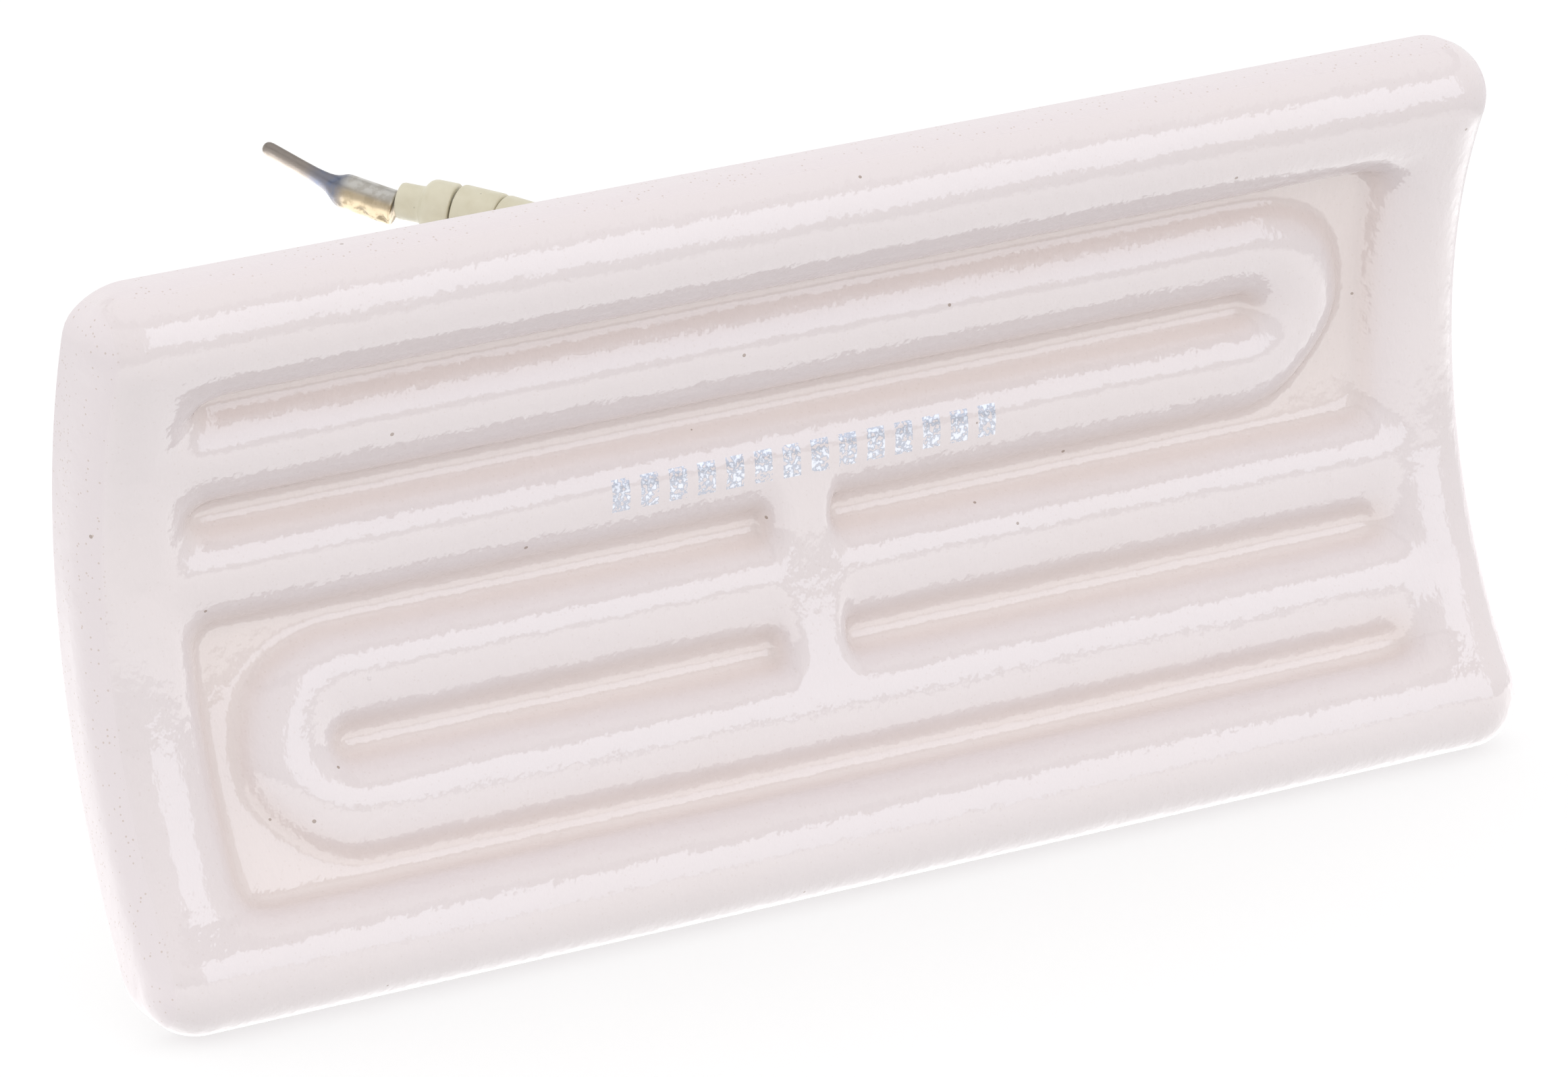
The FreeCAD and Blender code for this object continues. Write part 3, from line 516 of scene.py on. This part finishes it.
def makeBeadCeramic(look):
    material, tree, shader = newMaterial("paleBeadCeramic")
    place = addNode(tree, "ShaderNodeTexCoord").outputs["Object"]
    tone = addNode(tree, "ShaderNodeAttribute", attribute_name="tone")
    clouds = addNode(tree, "ShaderNodeTexNoise", Scale=700.0, Detail=4.0)
    tree.links.new(place, clouds.inputs["Vector"])
    share = addMath(tree, "ADD", clouds.outputs["Fac"], tone.outputs["Fac"])
    colour = addMix(tree, addRange(tree, share, 0.3, 0.9), look["colour"], look["dark"])
    dotted = addMath(tree, "MULTIPLY", addSpecks(tree, place, 1500.0, 0.12, 0.08), 0.5)
    colour = addMix(tree, dotted, colour, look["speck"])
    tree.links.new(colour, shader.inputs["Base Color"])
    shader.inputs["Roughness"].default_value = look["roughness"]
    grain = addNode(tree, "ShaderNodeTexNoise", Scale=2500.0, Detail=3.0)
    tree.links.new(place, grain.inputs["Vector"])
    bump = addNode(tree, "ShaderNodeBump", Distance=0.00002, Strength=0.6)
    tree.links.new(grain.outputs["Fac"], bump.inputs["Height"])
    tree.links.new(bump.outputs["Normal"], shader.inputs["Normal"])
    return material


beadCeramic = makeBeadCeramic(beadLook)

# Metals: drawn wire and oxidised heater alloy
metalLooks = dict(leadWire=dict(colour=(0.55, 0.52, 0.47, 1), dark=(0.38, 0.35, 0.31, 1), roughness=0.35),
                  heaterAlloy=dict(colour=(0.34, 0.32, 0.30, 1), dark=(0.20, 0.18, 0.17, 1), roughness=0.5))


def makeMetal(name, look):
    material, tree, shader = newMaterial(name)
    place = addNode(tree, "ShaderNodeTexCoord").outputs["Object"]
    stain = addNode(tree, "ShaderNodeTexNoise", Scale=900.0, Detail=4.0)
    tree.links.new(place, stain.inputs["Vector"])
    colour = addMix(tree, addRange(tree, stain.outputs["Fac"], 0.4, 0.65), look["colour"], look["dark"])
    tree.links.new(colour, shader.inputs["Base Color"])
    shader.inputs["Metallic"].default_value = 0.9
    shader.inputs["Roughness"].default_value = look["roughness"]
    return material


metals = {name: makeMetal(name, look) for name, look in metalLooks.items()}
for node in ("heating_coil", "cold_rod_left", "cold_rod_right"):
    data = frame["nodes"][node].data
    data.materials.clear()
    data.materials.append(metals["heaterAlloy"])

# Terminal metal, coloured along the pin, with a blue heat tint at the neck; round the barrel and the pin the
# colour follows which way the surface faces, as painted light: a painted reflection on the barrel's top, painted
# shade over the stains on its underside, and a painted reflection along the pin's lower edge
# the grey is a painted reflection, the brown is stains with painted shade, and the pale pin colour is a painted
# reflection
terminalLook = dict(gold=(0.52, 0.43, 0.30, 1), stainAndShadeBrown=(0.24, 0.19, 0.12, 1), reflectionGrey=(0.66, 0.64, 0.60, 1),
                    blue=(0.20, 0.23, 0.32, 1), pin=(0.33, 0.29, 0.26, 1), pinPaintedReflection=(0.52, 0.46, 0.40, 1),
                    roughness=0.30)


def makeTerminalMetal(look):
    material, tree, shader = newMaterial("tintedTerminal")
    place = addNode(tree, "ShaderNodeTexCoord").outputs["Object"]
    along = addNode(tree, "ShaderNodeAttribute", attribute_name="along").outputs["Fac"]
    around = addNode(tree, "ShaderNodeAttribute", attribute_name="around").outputs["Fac"]
    stain = addNode(tree, "ShaderNodeTexNoise", Scale=1100.0, Detail=5.0)
    tree.links.new(place, stain.inputs["Vector"])
    mottle = addRange(tree, stain.outputs["Fac"], 0.46, 0.60)
    low = addRange(tree, around, 0.25, 0.75)
    # painted reflection: the barrel is painted light grey on its upper side, gold elsewhere
    barrel = addMix(tree, addRange(tree, around, -0.75, -0.30), look["reflectionGrey"], look["gold"])
    # mottled stains, weighted towards the underside as painted shade
    mottle = addMath(tree, "MULTIPLY", mottle, addRange(tree, around, -0.1, 0.6, 0.25, 1.0))
    barrel = addMix(tree, mottle, barrel, look["stainAndShadeBrown"])
    # painted reflection: the pin is painted paler on its lower side
    pin = addMix(tree, low, look["pin"], look["pinPaintedReflection"])
    neck = addRange(tree, along, 4.0, 5.4)
    neck = addMath(tree, "MULTIPLY", neck, addRange(tree, along, 7.0, 9.0, 1.0, 0.0))
    neck = addMath(tree, "MULTIPLY", neck, addRange(tree, stain.outputs["Fac"], 0.3, 0.6, 1.0, 0.55))
    colour = addMix(tree, addRange(tree, along, 4.6, 6.2), barrel, pin)
    colour = addMix(tree, neck, colour, look["blue"])
    tree.links.new(colour, shader.inputs["Base Color"])
    shader.inputs["Metallic"].default_value = 0.85
    rough = addRange(tree, stain.outputs["Fac"], 0.3, 0.7, look["roughness"], look["roughness"] + 0.2)
    tree.links.new(rough, shader.inputs["Roughness"])
    bump = addNode(tree, "ShaderNodeBump", Distance=0.00005, Strength=0.7)
    tree.links.new(stain.outputs["Fac"], bump.inputs["Height"])
    tree.links.new(bump.outputs["Normal"], shader.inputs["Normal"])
    return material


terminalMetal = makeTerminalMetal(terminalLook)

# Leads: the route of the CAD on the right; the left lead is the same turned half round
lead = dict(route=[(14.0, 12.8, 2.8), (14.0, 26.9, 2.8), (12.0, 41.9, 7.2), (4.7, 55.7, 10.56),
                   (-2.36, 62.83, 12.19), (-5.26, 65.69, 13.55)],
            length=59.97, mouth=55.46, wireRadius=0.6, beads=13, pitch=4.13, gap=0.16, endBead=2.65,
            spigot=2.5, barrelGap=0.3, firstStart=0.31, beadRadius=2.4, bore=0.85, spigotRadius=1.6,
            barrelOffset=0.75, toneSpread=0.35)


def turned(point, side):
    return Vector((side * point[0], point[1], side * point[2]))


def leadCurve(name, side, thickness):
    curve = bpy.data.curves.new(name, "CURVE")
    curve.dimensions = "3D"
    spline = curve.splines.new("NURBS")
    spline.points.add(len(lead["route"]) - 1)
    for point, corner in zip(spline.points, lead["route"]):
        point.co = (*(turned(corner, side) * mm), 1)
    spline.order_u = 3
    spline.use_endpoint_u = True
    curve.resolution_u = 24
    curve.bevel_depth = thickness * mm
    curve.bevel_resolution = 5
    curve.use_fill_caps = thickness > 0
    piece = bpy.data.objects.new(name, curve)
    bpy.context.scene.collection.objects.link(piece)
    return piece


def routeOf(side):
    # points along the route's spline and their distances from its foot, in millimetres
    guide = leadCurve("leadGuide", side, 0)
    mesh = bpy.data.meshes.new_from_object(guide.evaluated_get(bpy.context.evaluated_depsgraph_get()))
    points = np.array([vertex.co for vertex in mesh.vertices]) / mm
    bpy.data.objects.remove(guide)
    bpy.data.meshes.remove(mesh)
    steps = np.linalg.norm(np.diff(points, axis=0), axis=1)
    return points, np.concatenate([[0], np.cumsum(steps)])


def alongRoute(points, distances, at):
    place = np.array([np.interp(at, distances, points[:, k]) for k in range(3)])
    ahead = np.array([np.interp(at + 0.4, distances, points[:, k]) for k in range(3)])
    behind = np.array([np.interp(at - 0.4, distances, points[:, k]) for k in range(3)])
    way = ahead - behind
    return place, way / np.linalg.norm(way)


def latheMesh(name, profile, segments):
    # profile of (radius, height) turned about Z
    points, faces = [], []
    for k in range(segments):
        turn = 2 * math.pi * k / segments
        points += [(r * math.cos(turn) * mm, r * math.sin(turn) * mm, h * mm) for r, h in profile]
    size = len(profile)
    for k in range(segments):
        n = (k + 1) % segments
        for i in range(size):
            j = (i + 1) % size
            faces.append((k * size + i, n * size + i, n * size + j, k * size + j))
    mesh = bpy.data.meshes.new(name)
    mesh.from_pydata(points, [], faces)
    work = bmesh.new()
    work.from_mesh(mesh)
    bmesh.ops.recalc_face_normals(work, faces=work.faces)
    work.to_mesh(mesh)
    work.free()
    for polygon in mesh.polygons:
        polygon.use_smooth = True
    return mesh


def drumProfile(length):
    r, bore = lead["beadRadius"], lead["bore"]
    return [(bore, 0.0), (r - 0.30, 0.0), (r - 0.10, 0.06), (r - 0.02, 0.16), (r, 0.32), (r, length / 2),
            (r, length - 0.32), (r - 0.02, length - 0.16), (r - 0.10, length - 0.06), (r - 0.30, length),
            (bore, length)]


def endBeadProfile():
    r, bore, d, p = lead["beadRadius"], lead["bore"], lead["endBead"], lead["spigotRadius"]
    tip = d + lead["spigot"]
    return [(bore, 0.0), (r - 0.30, 0.0), (r - 0.10, 0.06), (r - 0.02, 0.16), (r, 0.32), (r, d - 0.75),
            (r - 0.05, d - 0.45), (r - 0.18, d - 0.20), (r - 0.40, d), (p + 0.16, d + 0.14),
            (p + 0.04, d + 0.32),
            (p, d + 0.6), (p, tip - 0.3), (p - 0.06, tip - 0.1), (p - 0.25, tip), (bore, tip)]


def makeBeadTree():
    # one bead on each point, turned along the lead, with a tone of its own
    tree = bpy.data.node_groups.new("beadsOnLead", "GeometryNodeTree")
    names = (("Geometry", "NodeSocketGeometry"), ("Bead", "NodeSocketObject"),
             ("Tone Spread", "NodeSocketFloat"), ("Seed", "NodeSocketInt"), ("Material", "NodeSocketMaterial"))
    sockets = {}
    for name, kind in names:
        sockets[name] = tree.interface.new_socket(name, in_out="INPUT", socket_type=kind)
    tree.interface.new_socket("Geometry", in_out="OUTPUT", socket_type="NodeSocketGeometry")
    given, result = tree.nodes.new("NodeGroupInput"), tree.nodes.new("NodeGroupOutput")
    way = tree.nodes.new("GeometryNodeInputNamedAttribute")
    way.data_type = "FLOAT_VECTOR"
    way.inputs["Name"].default_value = "way"
    align = tree.nodes.new("FunctionNodeAlignRotationToVector")
    align.axis = "Z"
    tree.links.new(way.outputs["Attribute"], align.inputs["Vector"])
    source = tree.nodes.new("GeometryNodeObjectInfo")
    tree.links.new(given.outputs["Bead"], source.inputs["Object"])
    place = tree.nodes.new("GeometryNodeInstanceOnPoints")
    tree.links.new(given.outputs["Geometry"], place.inputs["Points"])
    tree.links.new(source.outputs["Geometry"], place.inputs["Instance"])
    tree.links.new(align.outputs["Rotation"], place.inputs["Rotation"])
    chance = tree.nodes.new("FunctionNodeRandomValue")
    chance.data_type = "FLOAT"
    tree.links.new(given.outputs["Tone Spread"], chance.inputs[3])
    tree.links.new(given.outputs["Seed"], chance.inputs["Seed"])
    store = tree.nodes.new("GeometryNodeStoreNamedAttribute")
    store.data_type = "FLOAT"
    store.domain = "INSTANCE"
    store.inputs["Name"].default_value = "tone"
    tree.links.new(place.outputs["Instances"], store.inputs["Geometry"])
    tree.links.new(chance.outputs[1], store.inputs["Value"])
    real = tree.nodes.new("GeometryNodeRealizeInstances")
    tree.links.new(store.outputs["Geometry"], real.inputs["Geometry"])
    paint = tree.nodes.new("GeometryNodeSetMaterial")
    tree.links.new(real.outputs["Geometry"], paint.inputs["Geometry"])
    tree.links.new(given.outputs["Material"], paint.inputs["Material"])
    tree.links.new(paint.outputs["Geometry"], result.inputs["Geometry"])
    return tree, {name: socket.identifier for name, socket in sockets.items()}


beadTree, beadSockets = makeBeadTree()


def makeBeads(side, label, route, scale, mouthAt):
    # twelve alike by nodes, and the end bead with its spigot
    points, distances = route
    drum = lead["pitch"] - lead["gap"]
    template = bpy.data.objects.new("beadTemplate", latheMesh("beadTemplate", drumProfile(drum), 40))
    bpy.context.scene.collection.objects.link(template)
    feet, ways = [], []
    for k in range(lead["beads"] - 1):
        toMouth = lead["mouth"] - (lead["firstStart"] + k * lead["pitch"] + drum / 2)
        place, way = alongRoute(points, distances, mouthAt - toMouth * scale)
        feet.append(tuple((place - way * drum / 2) * mm))
        ways.append(tuple(way))
    mesh = bpy.data.meshes.new("beads" + label)
    mesh.from_pydata(feet, [], [])
    mesh.attributes.new("way", "FLOAT_VECTOR", "POINT").data.foreach_set("vector", np.array(ways).ravel())
    string = bpy.data.objects.new("beads" + label, mesh)
    bpy.context.scene.collection.objects.link(string)
    modifier = string.modifiers.new("beads", "NODES")
    modifier.node_group = beadTree
    values = dict(Bead=template, Seed=3 + side, Material=beadCeramic)
    values["Tone Spread"] = lead["toneSpread"]
    for name, value in values.items():
        modifier[beadSockets[name]] = value
    plain = bpy.data.meshes.new_from_object(string.evaluated_get(bpy.context.evaluated_depsgraph_get()))
    string.modifiers.clear()
    string.data = plain
    plain.name = "beads" + label
    bpy.data.objects.remove(template)
    middle = mouthAt - lead["barrelGap"] - lead["spigot"] - lead["endBead"] / 2
    place, way = alongRoute(points, distances, middle)
    end = bpy.data.objects.new("endBead" + label, latheMesh("endBead" + label, endBeadProfile(), 48))
    bpy.context.scene.collection.objects.link(end)
    turn = Vector((0, 0, 1)).rotation_difference(Vector(way)).to_matrix().to_4x4()
    end.data.transform(Matrix.Translation(Vector((place - way * lead["endBead"] / 2) * mm)) @ turn)
    end.data.materials.append(beadCeramic)
    for piece in (string, end):
        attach(piece, "root")
    low = label.lower()
    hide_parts(*["bead_%s_%02d" % (low, k + 1) for k in range(lead["beads"] - 1)])
    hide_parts("bead_%s_%02d" % (low, lead["beads"]))
    return string, end


# Pin terminal: rings along a line that bends off the barrel's axis; stations are (distance, radius)
terminal = dict(stations=[(0.02, 0.9), (0.0, 1.38), (0.06, 1.50), (0.25, 1.55), (1.0, 1.53), (2.0, 1.53),
                          (3.0, 1.53), (4.0, 1.53), (4.6, 1.52), (4.95, 1.46), (5.25, 1.33), (5.55, 1.15),
                          (5.85, 0.98),
                          (6.2, 0.84), (6.6, 0.75), (7.1, 0.69), (7.8, 0.64), (9.0, 0.62), (10.5, 0.62),
                          (12.2, 0.62), (12.5, 0.58), (12.72, 0.47), (12.85, 0.30), (12.9, 0.12)],
                segments=44, lean=10.6, bendStart=4.3, bendEnd=5.9,
                dents=[(0.55, 2.50, 0.30, 0.38, 0.42), (2.6, 2.45, 0.34, 0.50, 0.42),
                       (3.9, 2.0, 0.12, 0.4, 0.5)])


def terminalFrame(side):
    mouth, end = Vector(lead["route"][-2]), Vector(lead["route"][-1])
    along = (end - mouth).normalized()
    down = Vector((0, 0, -1)) - along * Vector((0, 0, -1)).dot(along)
    down.normalize()
    across = down.cross(along)
    origin = mouth + down * lead["barrelOffset"]
    frame = Matrix((across, down, along)).transposed().to_4x4()
    place = Matrix.Translation(origin) @ frame
    return Matrix.Rotation(0 if side > 0 else math.pi, 4, "Y") @ place


def makeTerminal(side, label, t):
    place = terminalFrame(side)
    count = t["segments"]
    fine = []
    for (a, ra), (b, rb) in zip(t["stations"], t["stations"][1:]):
        steps = max(1, int(round(abs(b - a) / 0.2)))
        fine += [(a + (b - a) * k / steps, ra + (rb - ra) * k / steps) for k in range(steps)]
    fine.append(t["stations"][-1])
    points, faces, alongs, arounds = [], [], [], []
    centre, last = Vector((0, 0, 0)), 0.0
    for distance, radius in fine:
        share = min(max((distance - t["bendStart"]) / (t["bendEnd"] - t["bendStart"]), 0), 1)
        lean = math.radians(t["lean"]) * share * share * (3 - 2 * share)
        way = Vector((0, -math.sin(lean), math.cos(lean)))
        centre = centre + way * (distance - last)
        last = distance
        across, low = Vector((1, 0, 0)), Vector((0, math.cos(lean), math.sin(lean)))
        for k in range(count):
            turn = 2 * math.pi * k / count
            press = 0
            for at, angle, depth, length, width in t["dents"]:
                off = math.atan2(math.sin(turn - angle), math.cos(turn - angle))
                press += depth * math.exp(-((distance - at) / length) ** 2 - (off / width) ** 2)
            r = radius - press
            spoke = across * math.cos(turn) + low * math.sin(turn)
            points.append(place @ (centre + spoke * r) * mm)
            alongs.append(distance)
            arounds.append(math.sin(turn))
    for i in range(len(fine) - 1):
        for k in range(count):
            n = (k + 1) % count
            faces.append((i * count + k, i * count + n, (i + 1) * count + n, (i + 1) * count + k))
    faces.append(tuple(range(count))[::-1])
    faces.append(tuple(range((len(fine) - 1) * count, len(fine) * count)))
    piece = meshPiece("terminal" + label, points, faces, "terminal_metal", terminalMetal)
    piece.data.attributes.new("along", "FLOAT", "POINT").data.foreach_set("value", alongs)
    piece.data.attributes.new("around", "FLOAT", "POINT").data.foreach_set("value", arounds)
    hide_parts("terminal_pin_" + label.lower())
    return piece


for side, label in ((1, "Right"), (-1, "Left")):
    route = routeOf(side)
    mouth = np.array(turned(lead["route"][-2], side))
    mouthAt = route[1][int(np.argmin(np.linalg.norm(route[0] - mouth, axis=1)))]
    scale = (mouthAt - lead["firstStart"]) / (lead["mouth"] - lead["firstStart"])
    string, end = makeBeads(side, label, route, scale, mouthAt)
    pin = makeTerminal(side, label, terminal)
    wire = leadCurve("leadWire" + label, side, lead["wireRadius"])
    wire.data.materials.append(metals["leadWire"])
    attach(wire, "root")
    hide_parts("lead_wire_" + label.lower())
    print("lead", label, round(route[1][-1], 2), "mouth at", round(mouthAt, 2), "scale", round(scale, 4))

# Floor and lights: an even white tent; reflections see a bright window in front and a dark band above it
studio = dict(floorDrop=0.2, floorSize=4.0, floorColour=0.95, tentLow=1.34, tentHigh=0.93,
              tentFrom=25.0, tentTo=60.0, glow=0.66, glowMirror=1.62, farMirror=0.25, glowReach=0.16,
              plain=0.5, white=1.03,
              plainGlow=1.06, mirrorLow=0.95, mirrorBand=0.25,
              mirrorHigh=0.80, bandLow=38.0, bandHigh=51.0, boxLeft=-2.0, boxRight=45.0, boxLow=-5.0, boxHigh=37.5,
              boxColour=(2.65, 2.80, 3.05, 1), edge=2.0)


def makeStudio(s):
    # the floor shows its shadow half strength, and lights and mirrors as an even white table
    floorMaterial, tree, shader = newMaterial("whiteSweep")
    shader.inputs["Base Color"].default_value = (s["floorColour"], s["floorColour"], s["floorColour"], 1)
    shader.inputs["Roughness"].default_value = 0.9
    shader.inputs["Specular IOR Level"].default_value = 0.0
    out = tree.nodes["Material Output"].inputs["Surface"]
    path = addNode(tree, "ShaderNodeLightPath")
    plain = addNode(tree, "ShaderNodeEmission", Strength=s["plainGlow"])
    shown = addNode(tree, "ShaderNodeMixShader")
    shown.inputs[0].default_value = s["plain"]
    tree.links.new(shader.outputs[0], shown.inputs[1])
    tree.links.new(plain.outputs[0], shown.inputs[2])
    away = addNode(tree, "ShaderNodeVectorMath", operation="LENGTH")
    tree.links.new(addNode(tree, "ShaderNodeTexCoord").outputs["Object"], away.inputs[0])
    close = addRange(tree, away.outputs["Value"], s["glowReach"] * 0.8, s["glowReach"] * 1.2, 1.0, 0.0)
    mirrored = addMath(tree, "MULTIPLY", path.outputs["Is Glossy Ray"], s["glowMirror"])
    near = addMath(tree, "ADD", addMath(tree, "MULTIPLY", mirrored, close), s["glow"])
    far = addMath(tree, "MULTIPLY", path.outputs["Is Glossy Ray"], s["farMirror"])
    lit = addNode(tree, "ShaderNodeEmission")
    tree.links.new(addMath(tree, "ADD", near, far), lit.inputs["Strength"])
    seen = addNode(tree, "ShaderNodeMixShader")
    tree.links.new(path.outputs["Is Camera Ray"], seen.inputs[0])
    tree.links.new(lit.outputs[0], seen.inputs[1])
    tree.links.new(shown.outputs[0], seen.inputs[2])
    tree.links.new(seen.outputs[0], out)
    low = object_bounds()[0].z - s["floorDrop"] * mm
    half = s["floorSize"] / 2
    corners = [(x, y, low) for x, y in ((-half, -half), (half, -half), (half, half), (-half, half))]
    floor = meshPiece("studioFloor", corners, [(0, 1, 2, 3)], None, floorMaterial)
    floor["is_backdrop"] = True
    world = bpy.data.worlds.new("studioWorld")
    bpy.context.scene.world = world
    world.use_nodes = True
    tree = world.node_tree
    tent = tree.nodes["Background"]
    tent.inputs["Color"].default_value = (1, 1, 1, 1)
    parts = addNode(tree, "ShaderNodeSeparateXYZ")
    tree.links.new(addNode(tree, "ShaderNodeTexCoord").outputs["Generated"], parts.inputs[0])
    x, y, z = parts.outputs
    height = addMath(tree, "ARCSINE", z)
    turn = addMath(tree, "ARCTAN2", x, addMath(tree, "MULTIPLY", y, -1.0))
    low, high = math.radians(s["tentFrom"]), math.radians(s["tentTo"])
    tree.links.new(addRange(tree, height, low, high, s["tentLow"], s["tentHigh"]), tent.inputs["Strength"])

    def step(value, at, rising=True):
        low, high = math.radians(at - s["edge"] / 2), math.radians(at + s["edge"] / 2)
        return addRange(tree, value, low, high, *((0.0, 1.0) if rising else (1.0, 0.0)))

    band = addMath(tree, "MULTIPLY", step(height, s["bandLow"]), step(height, s["bandHigh"], False))
    reflectionGrey = [(v, v, v, 1) for v in (s["mirrorLow"], s["mirrorBand"], s["mirrorHigh"])]
    colour = addMix(tree, step(height, s["bandHigh"]), reflectionGrey[0], reflectionGrey[2])
    colour = addMix(tree, band, colour, reflectionGrey[1])
    box = addMath(tree, "MULTIPLY", step(height, s["boxLow"]), step(height, s["boxHigh"], False))
    box = addMath(tree, "MULTIPLY", box, step(turn, s["boxLeft"]))
    box = addMath(tree, "MULTIPLY", box, step(turn, s["boxRight"], False))
    colour = addMix(tree, box, colour, s["boxColour"])
    mirror = addNode(tree, "ShaderNodeBackground", Strength=1.0)
    tree.links.new(colour, mirror.inputs["Color"])
    white = addNode(tree, "ShaderNodeBackground", Strength=s["white"])
    white.inputs["Color"].default_value = (1, 1, 1, 1)
    path = addNode(tree, "ShaderNodeLightPath")
    shiny = addNode(tree, "ShaderNodeMixShader")
    tree.links.new(path.outputs["Is Glossy Ray"], shiny.inputs[0])
    tree.links.new(tent.outputs[0], shiny.inputs[1])
    tree.links.new(mirror.outputs[0], shiny.inputs[2])
    seen = addNode(tree, "ShaderNodeMixShader")
    tree.links.new(path.outputs["Is Camera Ray"], seen.inputs[0])
    tree.links.new(shiny.outputs[0], seen.inputs[1])
    tree.links.new(white.outputs[0], seen.inputs[2])
    tree.links.new(seen.outputs[0], tree.nodes["World Output"].inputs["Surface"])


makeStudio(studio)
bpy.context.scene.view_settings.view_transform = "Standard"
